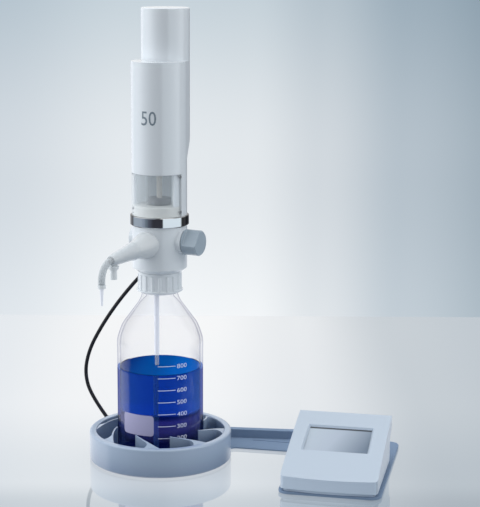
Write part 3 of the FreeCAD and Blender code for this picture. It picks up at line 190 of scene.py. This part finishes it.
def grain(made, scale=900, strength=0.04):
    """Fine moulded grain as a bump."""
    tree = made.node_tree
    noise = node(tree, "TexNoise", Vector=node(tree, "TexCoord").outputs["Object"], Scale=scale, Detail=2)
    bump = node(tree, "Bump", Strength=strength, Distance=0.0002, Height=noise.outputs["Fac"])
    put(tree, tree.nodes["Principled BSDF"].inputs["Normal"], bump.outputs["Normal"])
    return made


def deepened(made, reach, strength, deep=(0.13, 0.22, 0.36)):
    """Painted shade: the colour falls to shares of itself down in the pockets, by ambient occlusion."""
    tree = made.node_tree
    base = tree.nodes["Principled BSDF"].inputs["Base Color"]
    colour = tuple(base.default_value)
    open_sky = node(tree, "AmbientOcclusion", Distance=reach)
    open_sky.samples = 8
    openness = pair(tree, "Math", open_sky.outputs["AO"], strength, "POWER").outputs[0]
    shade = (*(share * value for share, value in zip(deep, colour)), 1.0)
    put(tree, base, mixed(tree, openness, shade, colour))
    return made


def edged(made, start, end, share):
    """Painted shade: colour that falls to a share of itself where the surface turns away."""
    tree = made.node_tree
    base = tree.nodes["Principled BSDF"].inputs["Base Color"]
    colour = tuple(base.default_value)
    dark = (*(share * value for value in colour[:3]), 1.0)
    put(tree, base, mixed(tree, spread(tree, turned_away(tree), start, end), colour, dark))
    return made


def thin(name, colour, tint, shares, rough):
    """Thin clear or milky plastic: its body shows by two shares, facing the eye and turned away."""
    made = material(name, colour, rough, IOR=1.45)
    tree = made.node_tree
    share = node(tree, "MapRange", Value=turned_away(tree, 0.25), To_Min=shares[0], To_Max=shares[1])
    clear = node(tree, "BsdfTransparent", Color=tint)
    body = tree.nodes["Principled BSDF"]
    put(tree, tree.nodes["Material Output"].inputs["Surface"],
        layered(tree, share.outputs["Result"], clear.outputs[0], body.outputs[0]))
    return made


def clear_shell(name, tints, mirrors):
    """Clear glass by how far it turns away: a painted tint for what is behind it and for the shade along
    its edges, and the share it mirrors.
    """
    made, tree, out = bare_look(name)
    slant = turned_away(tree)
    clear = node(tree, "BsdfTransparent", Color=ramp(tree, slant, tints, "LINEAR"))
    mirror = node(tree, "BsdfGlossy", Roughness=0.02)
    share = ramp(tree, slant, [(at, grey(value)) for at, value in mirrors], "LINEAR")
    put(tree, out.inputs["Surface"], layered(tree, share, clear.outputs[0], mirror.outputs[0]))
    return made


def reagent(name, colour, density):
    """Clear liquid that takes its colour from the way light travels in it, with a faint painted glow low
    down: painted light.
    """
    made, tree, out = bare_look(name)
    bend = node(tree, "BsdfRefraction", IOR=1.33, Roughness=0.0)
    glow = node(tree, "Emission", Color=ramp(tree, along(tree, UP, 0.02, 0.10), [
        (0.0, grey(0.0)), (0.12, (0.001, 0.001, 0.004, 1)), (0.22, (0.008, 0.009, 0.045, 1)),
        (0.32, (0.015, 0.015, 0.09, 1)), (0.44, (0.015, 0.014, 0.10, 1)), (0.51, grey(0.0)),
        (1.0, grey(0.0))]))
    soak = node(tree, "VolumeAbsorption", Color=colour, Density=density)
    put(tree, out.inputs["Surface"], pair(tree, "AddShader", bend.outputs[0], glow.outputs[0]).outputs[0])
    put(tree, out.inputs["Volume"], soak.outputs[0])
    return made


LOOKS = {
    # The holder's colour darkens down in its pockets, as painted shade.
    "holder": deepened(grain(coated("holder", tone(160, 177, 199), 0.5, 1.7, 0.22)), 0.03, 1.2),
    "link": grain(material("link", tone(122, 141, 166), 0.6, IOR=1.2)),
    "unit": grain(coated("unit", tone(180, 193, 207), 0.5, 1.4, 0.3)),
    # A lighter copy of the unit's look for its front faces: painted light.
    "unit_front": grain(coated("unit_front", tone(199, 214, 231), 0.5, 1.4, 0.3)),
    "white": coated("head_white", tone(231, 237, 242), 0.4, 1.7, 0.16),
    # The drive housing's inner walls glow faintly, as painted light.
    "inner_wall_glow": lit("inner_wall_glow", tone(214, 222, 227), 0.6, tone(214, 222, 227), 0.22),
    # The cylinder's seat and the piston rod glow faintly, as painted light.
    "seat": lit("seat", tone(220, 222, 220), 0.5, tone(234, 235, 231), 0.07),
    "rod": lit("rod", tone(226, 222, 214), 0.4, tone(226, 222, 214), 0.1),
    "pane_edge": material("pane_edge", tone(214, 218, 219), 0.5),
    "boss": coated("boss", tone(213, 218, 221), 0.4, 1.5, 0.2),
    # The tip glows faintly, as painted light.
    "tip": lit("tip_white", tone(224, 229, 232), 0.4, tone(235, 238, 240), 0.06, IOR=1.3),
    "arm": coated("arm_white", tone(206, 212, 216), 0.4, 1.5, 0.2),
    "knob": coated("knob", tone(164, 179, 191), 0.45, 1.5, 0.25),
    "rubber": material("rubber", tone(40, 42, 46), 0.7),
    "cord": material("cord", tone(38, 38, 42), 0.35),
    # The bottle's glass turns darker and lavender where it turns away: painted shade along its edges.
    "bottle": clear_shell("bottle_glass", [
        (0.0, (0.996, 0.996, 0.999, 1)), (0.7, (0.99, 0.99, 0.998, 1)), (0.86, (0.84, 0.84, 0.90, 1)),
        (1.0, (0.62, 0.62, 0.74, 1))],
        [(0.0, 0.008), (0.3, 0.01), (0.53, 0.07), (0.7, 0.15), (1.0, 0.35)]),
    # Beside the reagent the glass turns deep blue where it turns away: painted light standing in for light
    # bent through the reagent.
    "wet_outside": clear_shell("bottle_wet_outside", [
        (0.0, (0.996, 0.996, 0.999, 1)), (0.62, (0.99, 0.99, 0.998, 1)), (0.69, (0.10, 0.22, 0.62, 1)),
        (1.0, (0.06, 0.10, 0.46, 1))],
        [(0.0, 0.008), (0.3, 0.04), (0.55, 0.18), (1.0, 0.16)]),
    "wet_inside": clear_shell("bottle_wet_inside", [(0.0, grey(0.998)), (1.0, grey(0.998))],
                              [(0.0, 0.0), (1.0, 0.0)]),
    "cylinder": thin("cylinder_glass", tone(200, 206, 210), (0.93, 0.94, 0.95, 1), (0.04, 0.35), 0.05),
    "pane": thin("pane", tone(232, 238, 243), grey(1.0), (0.14, 0.5), 0.15),
    "tube": thin("tube", tone(214, 219, 222), (0.94, 0.95, 0.96, 1), (0.35, 0.95), 0.15),
    "suction": thin("suction", tone(228, 232, 240), (0.99, 0.99, 0.995, 1), (0.14, 0.5), 0.2),
    # The milky tubes glow: painted light standing in for light shining through them.
    "milky": lit("milky", tone(214, 218, 228), 0.4, tone(228, 232, 242), 0.3),
    # The chrome's colour darkens where it turns away, as painted shade.
    "chrome": edged(material("chrome", tone(232, 234, 237), 0.05, 1.0), 0.5, 0.6, 0.07),
    "steel": material("steel", tone(200, 200, 200), 0.22, 1.0),
    "screw": material("screw", tone(132, 134, 138), 0.5, 0.4),
    "piston": material("piston", tone(134, 138, 142), 0.5),
    "brass": material("brass", tone(200, 165, 90), 0.3, 1.0),
    "metal": material("metal", tone(190, 192, 196), 0.35, 1.0),
    "board": material("board", tone(30, 90, 60), 0.5),
    "gear": material("gear", tone(230, 228, 218), 0.45),
    "seal": material("seal", tone(215, 215, 212), 0.6),
    "ball": material("ball", tone(120, 30, 50), 0.1),
    "display": material("display", tone(150, 160, 172), 0.3),
    "panel": material("panel", tone(60, 62, 66), 0.5),
    "print": material("print", tone(225, 232, 250), 0.5),
    "patch": material("patch", tone(172, 170, 204), 0.5),
    "ink": material("ink", tone(122, 136, 147), 0.5),
    "reagent": reagent("reagent", (0.02, 0.42, 0.80, 1), 60),
    "reagent_top": material("reagent_top", tone(0, 74, 150), 0.6, IOR=1.02),
    # The reagent's underside glows dark blue, as painted light.
    "reagent_low": lit("reagent_low", tone(10, 14, 30), 1.0, tone(34, 42, 76), 1.0),
}

WEARS = {
    "holder": ["holder_ring", "bottle_vanes"],
    "link": ["link_arm", "unit_plate"],
    "rubber": ["base_feet", "base_gland", "cable_gland"],
    "cord": ["drive_cable"],
    "bottle": ["bottle_glass"],
    "cylinder": ["glass_cylinder"],
    "pane": ["window_pane"],
    "seat": ["cylinder_seat"],
    "white": ["thread_collar", "valve_block", "drive_housing", "rear_cover", "motor_housing",
              "top_cap", "vent_plug", "cylinder_head"],
    "arm": ["discharge_arm", "suction_adapter", "valve_plug", "outlet_valve_seat"],
    "tip": ["tip_cap", "tip_ferrule"],
    "tube": ["discharge_tube"],
    "suction": ["suction_tube_lower"],
    "milky": ["suction_tube_upper", "discharge_tip"],
    "knob": ["recirculation_knob"],
    "seal": ["neck_seal"],
    "ball": ["inlet_ball", "outlet_ball"],
    "chrome": ["lock_ring"],
    "rod": ["piston_rod"],
    "steel": ["motor_shaft", "plate_posts"],
    "screw": ["window_screws"],
    "piston": ["piston", "piston_seal"],
    "gear": ["nut_gear"],
    "brass": ["motor_pinion", "nut_bearing"],
    "metal": ["gear_plate", "motor_plate", "drive_motor"],
    "board": ["drive_board", "unit_board"],
    "unit": ["unit_top_shell", "unit_bottom_shell", "unit_posts"],
    "display": ["touch_display"],
    "panel": ["display_panel", "rear_socket"],
}

# Widths of the rounding of hard edges
SOFT_EDGES = {
    "bottle_vanes": 1.2, "holder_ring": 1.4, "link_arm": 1.0, "unit_plate": 1.0, "unit_top_shell": 1.6,
    "unit_bottom_shell": 0.8, "top_cap": 0.6, "thread_collar": 0.5, "valve_block": 0.6,
}


def smooth(mesh, degrees=28):
    mesh.shade_smooth()
    mesh.set_sharp_from_angle(angle=math.radians(degrees))


def on_faces(mesh, look, chosen):
    """Give the chosen faces of a mesh a look of their own."""
    mesh.materials.append(LOOKS[look])
    for face in mesh.polygons:
        if chosen(face):
            face.material_index = len(mesh.materials) - 1


# Painted reflection on the display: lighter at its left and darker to its right, with a dark band along
# its upper edge
tree = LOOKS["display"].node_tree
corners = [v.co for v in NODES["touch_display"].data.vertices]
right_of = [co.x - 0.35 * co.y for co in corners]
shade = ramp(tree, along(tree, Vector((1.0, -0.35, 0.0)), min(right_of), max(right_of)), [
    (0.0, tone(182, 194, 205)), (0.45, tone(170, 181, 195)), (0.9, tone(104, 120, 138))], "LINEAR")
up_screen = [co.y for co in corners]
dark_top_band = ramp(tree, along(tree, Vector((0, 1, 0)), min(up_screen), max(up_screen)), [
    (0.0, grey(1.0)), (0.9, grey(1.0)), (0.93, grey(0.12)), (1.0, grey(0.12))])
put(tree, tree.nodes["Principled BSDF"].inputs["Base Color"], times(tree, shade, dark_top_band))

# Painted light: the reagent's top is lighter to the right, a painted sheen
tree = LOOKS["reagent_top"].node_tree
sheen = ramp(tree, along(tree, Vector((1, 0, 0)), -0.05, 0.05), [
    (0.0, tone(8, 46, 118)), (0.45, tone(0, 74, 150)), (0.8, tone(0, 92, 182)), (1.0, tone(0, 96, 192))])
put(tree, tree.nodes["Principled BSDF"].inputs["Base Color"], sheen)

for look, names in WEARS.items():
    for name in names:
        mesh = NODES[name].data
        mesh.materials.clear()
        mesh.materials.append(LOOKS[look])
        smooth(mesh)

for name in ("window_pane", "glass_cylinder"):
    NODES[name].visible_shadow = False

for name, width in SOFT_EDGES.items():
    edge = NODES[name].modifiers.new("soft_edges", "BEVEL")
    edge.width = width * MM
    edge.segments = 3
    edge.limit_method = "ANGLE"
    edge.angle_limit = math.radians(35)
    edge.harden_normals = False

# The shells' front faces wear the lighter copy, as painted light.
for name in ("unit_top_shell", "unit_bottom_shell"):
    on_faces(NODES[name].data, "unit_front", lambda face: face.normal.y < -0.8)

nozzle_way = sum((v.co for v in NODES["discharge_arm"].data.vertices), Vector((0, 0, 0)))
nozzle_way.z = 0
nozzle_way.normalize()


def from_axis(face):
    """The level way from the head's and bottle's axis to a face, in metres."""
    return Vector((face.center.x, face.center.y, 0))


def on_nozzle_boss(face):
    way = from_axis(face)
    return way.length > (BLOCK_R + 0.4) * MM and way.normalized().dot(nozzle_way) > 0.7


def outward(face):
    """How far a face looks away from the axis, from -1 to 1."""
    return face.normal.dot(from_axis(face).normalized())


on_faces(NODES["valve_block"].data, "boss", on_nozzle_boss)
# The housing's inward faces get the faintly glowing look: painted light.
on_faces(NODES["drive_housing"].data, "inner_wall_glow", lambda face: outward(face) < -0.3)
on_faces(NODES["window_pane"].data, "pane_edge", lambda face: abs(outward(face)) < 0.5)


# Mesh helpers

def piece(name, verts, faces, look, body, closed=True):
    """A new piece that rides on a body; a closed one gets its faces turned outward."""
    mesh = bpy.data.meshes.new(name)
    mesh.from_pydata([Vector(v) * MM for v in verts], [], faces)
    mesh.validate()
    if closed:
        work = bmesh.new()
        work.from_mesh(mesh)
        bmesh.ops.recalc_face_normals(work, faces=work.faces)
        work.to_mesh(mesh)
        work.free()
    mesh.materials.append(LOOKS[look])
    smooth(mesh)
    made = bpy.data.objects.new(name, mesh)
    bpy.context.scene.collection.objects.link(made)
    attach(made, body)
    return made


def lathe(profile, count):
    """Vertices and faces of a turned body from (radius, z) points, the first and last on the axis."""
    verts, faces, rings = [], [], []
    for radius, z in profile:
        if radius < 1e-6:
            rings.append([len(verts)])
            verts.append((0, 0, z))
            continue
        rings.append(list(range(len(verts), len(verts) + count)))
        for index in range(count):
            angle = 2 * math.pi * index / count
            verts.append((radius * math.cos(angle), radius * math.sin(angle), z))
    for low, high in zip(rings, rings[1:]):
        for index in range(count):
            after = (index + 1) % count
            if len(low) == 1:
                faces.append((low[0], high[after], high[index]))
            elif len(high) == 1:
                faces.append((low[index], low[after], high[0]))
            else:
                faces.append((low[index], low[after], high[after], high[index]))
    return verts, faces


def curve_through(points, steps):
    """Smooth line through (radius, z) points, with so many steps from each to the next."""
    out = []
    line = [points[0], *points, points[-1]]
    for a, b, c, d in zip(line, line[1:], line[2:], line[3:]):
        for step in range(steps):
            t = step / steps
            out.append(tuple(
                0.5 * (2 * q + (r - p) * t + (2 * p - 5 * q + 4 * r - s) * t * t
                       + (3 * q - p - 3 * r + s) * t ** 3)
                for p, q, r, s in zip(a, b, c, d)))
    out.append(points[-1])
    return out


# Bottle and reagent

ROUND = 192       # faces round the bottle
FOOT_R = 9.0      # rounding of the bottle's foot
BASE_T = 4.2      # glass under the reagent
NECK_R = 20.6
NECK_BORE_R = 15.4
LIP_R = 22.2
CLING = 0.02      # the reagent reaches this far into the glass


def bottle_side(inset, foot, floor, neck, top):
    """Half section of the bottle from the axis at its floor up to the neck, as (radius, z)."""
    z = FLOOR_Z
    straight = BOTTLE_R - inset
    corner = []
    for step in range(9):
        angle = math.pi / 2 * step / 8
        corner.append((straight - foot + foot * math.sin(angle), floor + foot - foot * math.cos(angle)))
    shoulder = curve_through([
        (straight, z + 128), (straight, z + 139), (48.8 - inset, z + 146.5), (44.4 - inset, z + 158.2),
        (38.0 - inset * 0.9, z + 167.5), (31.4 - inset * 0.8, z + 176.6), (25.2 - inset * 0.8, z + 185.2),
        (neck + 1.4, z + 191.8), (neck, z + 198.0)], 6)
    return [(0.0, floor), *corner, (straight, LEVEL_Z), *shoulder, (neck, top)]


mouth = FLOOR_Z + BOTTLE_H
outer = bottle_side(0.0, FOOT_R, FLOOR_Z, NECK_R, FLOOR_Z + 206)
outer += [(LIP_R, FLOOR_Z + 208), (LIP_R, mouth - 2.5), (LIP_R - 1.0, mouth - 0.8), (NECK_R, mouth)]
inner = bottle_side(BOTTLE_WALL, FOOT_R - 2.5, FLOOR_Z + BASE_T, NECK_BORE_R, mouth)
verts, faces = lathe(outer + inner[::-1], ROUND)
bottle = piece("bottle", verts, faces, "bottle", "bottle")
mid_wall = (BOTTLE_R - BOTTLE_WALL / 2) * MM
on_faces(bottle.data, "wet_outside",
         lambda face: face.center.z < LEVEL_Z * MM and from_axis(face).length > mid_wall + 0.2 * MM)
on_faces(bottle.data, "wet_inside",
         lambda face: (FLOOR_Z + 4.0) * MM < face.center.z < LEVEL_Z * MM
         and from_axis(face).length < mid_wall - 0.8 * MM)
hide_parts("bottle_glass")

bore = BOTTLE_R - BOTTLE_WALL + CLING
wetted = [(r + CLING, z - CLING) for r, z in inner if z < LEVEL_Z - 6]
wetted[0] = (0.0, wetted[0][1])
# The reagent's edge climbs the glass a little
brim = [(bore, LEVEL_Z - 2.0), (bore, LEVEL_Z + 0.9), (46.9, LEVEL_Z + 0.35), (45.9, LEVEL_Z),
        (0.0, LEVEL_Z)]
verts, faces = lathe(wetted + brim, ROUND)
liquid = piece("reagent", verts, faces, "reagent", "bottle")
on_faces(liquid.data, "reagent_top",
         lambda face: face.center.z > (LEVEL_Z - 0.05) * MM and abs(face.normal.z) > 0.9)
# The reagent's underside wears the dark blue painted glow.
on_faces(liquid.data, "reagent_low",
         lambda face: face.center.z < (FLOOR_Z + 11) * MM and abs(face.normal.z) > 0.6)
liquid.visible_shadow = False
liquid.visible_diffuse = False
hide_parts("bottle_liquid")


# Print on the bottle and on the head

# Places round the axis are in degrees, and name a print's left end
PRINT_R = BOTTLE_R + 0.12
MARK_TOP_Z = 123.9
MARK_STEP = 14.35
MARK_AT = -78.9
MARK_SPAN = 23.6
FIGURE_AT = -53.2
PATCH_AT = -131.6
PATCH_SPAN = 47.0
PATCH_Z = 52.6
PATCH_HALF = 12.3
PATCH_CORNER = 3.6
PATCH_STEPS = 24
VOLUME_AT = -114.0
VOLUME_Z = 407.0


def wrapped(name, flat_verts, faces, radius, degrees, z, look, body):
    """A flat print laid round the axis: x runs to the right of the reader, y up."""
    verts = []
    for x, y in flat_verts:
        angle = math.radians(degrees) + x / radius
        verts.append((radius * math.cos(angle), radius * math.sin(angle), z + y))
    return piece(name, verts, faces, look, body, closed=False)


def strip(width, height, steps=12):
    verts, faces = [], []
    for step in range(steps + 1):
        x = width * step / steps
        verts += [(x, -height / 2), (x, height / 2)]
    for step in range(steps):
        a = 2 * step
        faces.append((a, a + 2, a + 3, a + 1))
    return verts, faces


def lettering(text, height, stretch=1.0):
    """Flat mesh of plain figures, its left end at x 0 and its middle at y 0."""
    data = bpy.data.curves.new("figures", "FONT")
    data.body = text
    data.size = 1.0
    data.resolution_u = 3
    source = bpy.data.objects.new("figures", data)
    bpy.context.scene.collection.objects.link(source)
    bpy.context.view_layer.update()
    mesh = bpy.data.meshes.new_from_object(source.evaluated_get(bpy.context.evaluated_depsgraph_get()))
    points = np.array([v.co[:2] for v in mesh.vertices])
    faces = [tuple(p.vertices) for p in mesh.polygons]
    bpy.data.objects.remove(source)
    bpy.data.meshes.remove(mesh)
    scale = height / (points[:, 1].max() - points[:, 1].min())
    points[:, 0] = (points[:, 0] - points[:, 0].min()) * scale * stretch
    points[:, 1] = (points[:, 1] - (points[:, 1].max() + points[:, 1].min()) / 2) * scale
    return [tuple(p) for p in points], faces


for index, amount in enumerate((800, 700, 600, 500, 400, 300, 200)):
    z = MARK_TOP_Z - MARK_STEP * index
    verts, faces = strip(math.radians(MARK_SPAN) * PRINT_R, 0.75)
    wrapped("scale_mark_%d" % amount, verts, faces, PRINT_R, MARK_AT, z, "print", "bottle")
    verts, faces = lettering(str(amount), 5.0, 1.25)
    wrapped("scale_figure_%d" % amount, verts, faces, PRINT_R, FIGURE_AT, z - 0.4, "print", "bottle")

patch_width = math.radians(PATCH_SPAN) * PRINT_R
left_x, right_x = PATCH_CORNER, patch_width - PATCH_CORNER
low_y, high_y = -PATCH_HALF + PATCH_CORNER, PATCH_HALF - PATCH_CORNER
outline = []
for cx, cy, first in ((right_x, high_y, 0), (left_x, high_y, 90),
                      (left_x, low_y, 180), (right_x, low_y, 270)):
    for step in range(7):
        angle = math.radians(first + 15 * step)
        outline.append((cx + PATCH_CORNER * math.cos(angle), cy + PATCH_CORNER * math.sin(angle)))
rows = sorted(set(round(y, 4) for x, y in outline))
verts, faces = [], []
for y in rows:
    xs = [x for x, v in outline if abs(v - y) < 1e-3]
    left, right = min(xs), max(xs)
    for step in range(PATCH_STEPS + 1):
        verts.append((left + (right - left) * step / PATCH_STEPS, y))
for row in range(len(rows) - 1):
    for step in range(PATCH_STEPS):
        a = row * (PATCH_STEPS + 1) + step
        faces.append((a, a + 1, a + PATCH_STEPS + 2, a + PATCH_STEPS + 1))
wrapped("writing_patch", verts, faces, PRINT_R, PATCH_AT, PATCH_Z, "patch", "bottle")

verts, faces = lettering("50", 16.0, 0.86)
wrapped("volume_figure", verts, faces, BLOCK_R + 0.16, VOLUME_AT, VOLUME_Z, "ink", "head")


# Cable from the head to the holder

CABLE_ROUTE = [
    (10.11, 36.22, 378.0),
    (10.11, 36.22, 347.0),
    (9.6, 38.8, 314.0),
    (6.2, 41.2, 280.0),
    (-4.5, 42.0, 249.0),
    (-22.0, 39.0, 223.5),
    (-43.0, 34.6, 200.0),
    (-63.0, 34.4, 175.0),
    (-82.5, 36.4, 146.0),
    (-98.8, 38.8, 116.0),
    (-105.6, 40.7, 86.0),
    (-98.6, 42.8, 57.0),
    (-79.0, 43.2, 30.5),
]
data = bpy.data.curves.new("drive_cable_line", "CURVE")
data.dimensions = "3D"
data.resolution_u = 12
data.bevel_resolution = 5
data.use_fill_caps = True
spline = data.splines.new("NURBS")
spline.points.add(len(CABLE_ROUTE) - 1)
for point, stop in zip(spline.points, CABLE_ROUTE):
    point.co = (*[v * MM for v in stop], 1)
spline.order_u = 3
spline.use_endpoint_u = True
line = bpy.data.objects.new("drive_cable_line", data)
bpy.context.scene.collection.objects.link(line)


def cable_mesh(radius):
    """The line as a tube, or as a bare row of points at radius 0."""
    data.bevel_depth = radius * MM
    bpy.context.view_layer.update()
    return bpy.data.meshes.new_from_object(line.evaluated_get(bpy.context.evaluated_depsgraph_get()))


bare = cable_mesh(0)
bpy.data.meshes.remove(bare)
tube = cable_mesh(CABLE_R)
bpy.data.objects.remove(line)
tube.materials.clear()
tube.materials.append(LOOKS["cord"])
smooth(tube, 60)
cable = bpy.data.objects.new("cable", tube)
bpy.context.scene.collection.objects.link(cable)
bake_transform(cable)
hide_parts("drive_cable")


# Camera

CAMERA_AT = Vector((449.7, -1751.4, 604.9))
pitch = math.radians(11.212)
azimuth = math.radians(101.44)
roll = math.radians(0.297)
AHEAD = Vector((math.cos(azimuth), math.sin(azimuth), 0))
ASIDE = Vector((math.sin(azimuth), -math.cos(azimuth), 0))

forward = AHEAD * math.cos(pitch) - UP * math.sin(pitch)
over = ASIDE.cross(forward)
cam_x = ASIDE * math.cos(roll) + over * math.sin(roll)
cam_y = -ASIDE * math.sin(roll) + over * math.cos(roll)
camera = bpy.data.objects.new("camera", bpy.data.cameras.new("camera"))
bpy.context.scene.collection.objects.link(camera)
turn = Matrix((cam_x, cam_y, -forward)).transposed().to_4x4()
camera.matrix_world = Matrix.Translation(CAMERA_AT * MM) @ turn
camera.data.lens = 112.38
camera.data.sensor_width = 36
camera.data.clip_start = 0.05
camera.data.clip_end = 50
bpy.context.scene.camera = camera


# Stage: a floor that ends behind the object, and a wall far behind it. Metres from here on.

STAGE_HALF = 3.0
FLOOR_END = 0.72
WALL_AHEAD = 1.6
FLOOR_TOP = -0.0002
# The floor shines by itself, and takes shadows and mirrors by these shares
MATT_SHARE = 0.16
GLOSS_SHARE = 0.38


def place(across, ahead, z):
    """Metres to the right, ahead and up of the origin, as the camera stands."""
    return ASIDE * across + AHEAD * ahead + UP * z


def stage_sheet(name, near, far, made):
    """A flat sheet across the stage between two lines, each given as (ahead, z)."""
    verts = [place(across, *line) for line in (near, far) for across in (-STAGE_HALF, STAGE_HALF)]
    mesh = bpy.data.meshes.new(name)
    mesh.from_pydata(verts, [], [(0, 1, 3, 2)])
    mesh.materials.append(made)
    mesh.shade_smooth()
    sheet = bpy.data.objects.new(name, mesh)
    bpy.context.scene.collection.objects.link(sheet)
    return sheet


wall_look, tree, out = bare_look("wall")
# Painted light fall-off: the wall's glow darkens towards its top and towards its sides, most to the right.
rise = ramp(tree, along(tree, UP, -0.62, 0.62), [
    (0.0, tone(249, 250, 252)), (0.25, tone(244, 247, 249)), (0.6, tone(226, 231, 235)),
    (1.0, tone(189, 203, 212))])
fall = ramp(tree, along(tree, ASIDE, -0.45, 0.75), [
    (0.0, (0.84, 0.87, 0.90, 1)), (0.27, grey(1.03)), (0.47, grey(1.01)),
    (0.6, (0.84, 0.86, 0.88, 1)), (0.75, (0.61, 0.67, 0.72, 1)), (1.0, (0.40, 0.48, 0.54, 1))])
glow = node(tree, "Emission", Color=times(tree, rise, fall))
gone = node(tree, "BsdfTransparent")
# Seen from behind the wall isn't there
put(tree, out.inputs["Surface"],
    layered(tree, node(tree, "NewGeometry").outputs["Backfacing"], glow.outputs[0], gone.outputs[0]))
wall = stage_sheet("stage_wall", (WALL_AHEAD, -0.9), (WALL_AHEAD, 1.6), wall_look)

floor_look, tree, out = bare_look("floor")
# Painted light fall-off: the floor's glow darkens towards the camera and towards its sides, most to the
# right.
depth = ramp(tree, along(tree, AHEAD, -0.45, FLOOR_END), [
    (0.0, tone(96, 112, 126)), (0.24, tone(190, 201, 210)), (0.31, tone(222, 229, 235)),
    (0.6, tone(247, 249, 251)), (1.0, tone(252, 253, 254))])
fall = ramp(tree, along(tree, ASIDE, -0.30, 0.50), [
    (0.0, (0.80, 0.84, 0.88, 1)), (0.25, grey(0.98)), (0.42, grey(1.0)), (0.6, (0.84, 0.86, 0.88, 1)),
    (0.8, (0.51, 0.57, 0.62, 1)), (1.0, (0.45, 0.52, 0.58, 1))])
painted_floor_falloff = times(tree, depth, fall)
glow = node(tree, "Emission", Color=painted_floor_falloff, Strength=1.15)
matt = node(tree, "BsdfDiffuse", Color=painted_floor_falloff)
gloss = node(tree, "BsdfGlossy", Roughness=0.04)
body = layered(tree, MATT_SHARE, glow.outputs[0], matt.outputs[0])
put(tree, out.inputs["Surface"], layered(tree, GLOSS_SHARE, body, gloss.outputs[0]))
floor = stage_sheet("stage_floor", (-1.2, FLOOR_TOP), (FLOOR_END, FLOOR_TOP), floor_look)


# Light: a studio all round, brightest on the left and above, darker behind the camera

world = bpy.data.worlds.new("studio")
world.use_nodes = True
bpy.context.scene.world = world
tree = world.node_tree
tree.nodes.clear()


def facing(direction):
    """From 0 to 1 as a way into the studio turns to a direction."""
    return spread(tree, dotted(tree, "Generated", direction), -1, 1)


def at_angle(degrees):
    return (degrees + 180) / 360


def round_mirror(stops):
    """Colours by the angle in degrees to the right of the camera, as the object sees it."""
    return ramp(tree, turn_share, [(at_angle(degrees), colour) for degrees, colour in stops])


sideways = ramp(tree, facing(ASIDE), [
    (0.0, (1.35, 1.37, 1.40, 1)), (0.12, (1.20, 1.22, 1.25, 1)), (0.3, (0.70, 0.73, 0.76, 1)),
    (0.5, (0.58, 0.61, 0.64, 1)), (0.62, (0.60, 0.63, 0.66, 1)), (0.8, (0.82, 0.85, 0.88, 1)),
    (1.0, (0.92, 0.95, 0.98, 1))])
above = ramp(tree, facing(UP), [
    (0.0, grey(0.66)), (0.5, grey(0.66)), (0.75, grey(1.0)), (1.0, grey(1.6))])
behind = ramp(tree, facing(-AHEAD), [
    (0.0, grey(1.0)), (0.6, grey(1.0)), (0.85, grey(0.85)), (1.0, grey(0.7))])
soft = node(tree, "Background", Color=times(tree, times(tree, sideways, above), behind), Strength=1.0)

# What shiny pieces mirror: near the object's foot, below the horizon, and above it
FOOT_BAND = (-0.21, -0.18)
HORIZON_BAND = (-0.03, 0.03)
turned = pair(tree, "Math", dotted(tree, "Generated", ASIDE), dotted(tree, "Generated", -AHEAD), "ARCTAN2")
turn_share = spread(tree, turned.outputs[0], -math.pi, math.pi)
low_mirror = round_mirror([
    (-180, (0.80, 0.83, 0.90, 1)), (-136, (0.80, 0.83, 0.90, 1)), (-118, (0.36, 0.42, 0.49, 1)),
    (-76, (0.36, 0.42, 0.49, 1)), (-62, (0.27, 0.32, 0.39, 1)), (-50, (0.15, 0.19, 0.23, 1)),
    (-38, (0.08, 0.09, 0.12, 1)), (-20, (0.035, 0.035, 0.045, 1)), (14, (0.035, 0.035, 0.045, 1)),
    (18, (0.80, 0.90, 0.96, 1)), (92, (0.80, 0.90, 0.96, 1)), (102, grey(0.03)),
    (180, (0.12, 0.13, 0.16, 1))])
high_mirror = round_mirror([
    (-180, grey(0.78)), (-150, grey(0.78)), (-120, grey(0.8)), (-60, (0.45, 0.5, 0.55, 1)),
    (-30, grey(0.15)), (10, grey(0.15)), (18, grey(0.95)), (92, grey(0.95)), (110, grey(0.3)),
    (150, grey(0.6)), (180, grey(0.78))])
near_mirror = round_mirror([
    (-180, (1.0, 1.02, 1.06, 1)), (-96, (1.0, 1.02, 1.06, 1)), (-84, (0.10, 0.12, 0.16, 1)),
    (30, (0.10, 0.12, 0.16, 1)), (42, (0.14, 0.18, 0.24, 1)), (130, (0.16, 0.20, 0.26, 1)),
    (150, (0.70, 0.74, 0.80, 1)), (180, (0.80, 0.84, 0.90, 1))])
rise = dotted(tree, "Generated", UP)
below = mixed(tree, spread(tree, rise, *FOOT_BAND), near_mirror, low_mirror)
mirrored = mixed(tree, spread(tree, rise, *HORIZON_BAND), below, high_mirror)
shiny = node(tree, "Background", Color=mirrored)
sky = layered(tree, node(tree, "LightPath").outputs["Is Glossy Ray"], soft.outputs[0], shiny.outputs[0])
put(tree, node(tree, "OutputWorld").inputs["Surface"], sky)


def lamp(name, where, aim, width, height, power):
    data = bpy.data.lights.new(name, "AREA")
    data.shape = "RECTANGLE"
    data.size = width
    data.size_y = height
    data.energy = power
    made = bpy.data.objects.new(name, data)
    bpy.context.scene.collection.objects.link(made)
    made.location = where
    made.rotation_mode = "QUATERNION"
    made.rotation_quaternion = (aim - where).to_track_quat("-Z", "Y")
    return made


middle = Vector((0.05, 0, 0.25))
lamps = [
    lamp("left", place(-1.3, -0.1, 0.6), middle, 0.9, 1.5, 8),
    lamp("right", place(1.4, -0.2, 0.6), middle, 0.8, 1.2, 4),
    lamp("top", place(-0.1, 0.2, 1.9), middle, 1.2, 1.2, 6),
]
for made in (wall, floor, *lamps):
    made.visible_glossy = False

bpy.context.scene.view_settings.view_transform = "Standard"
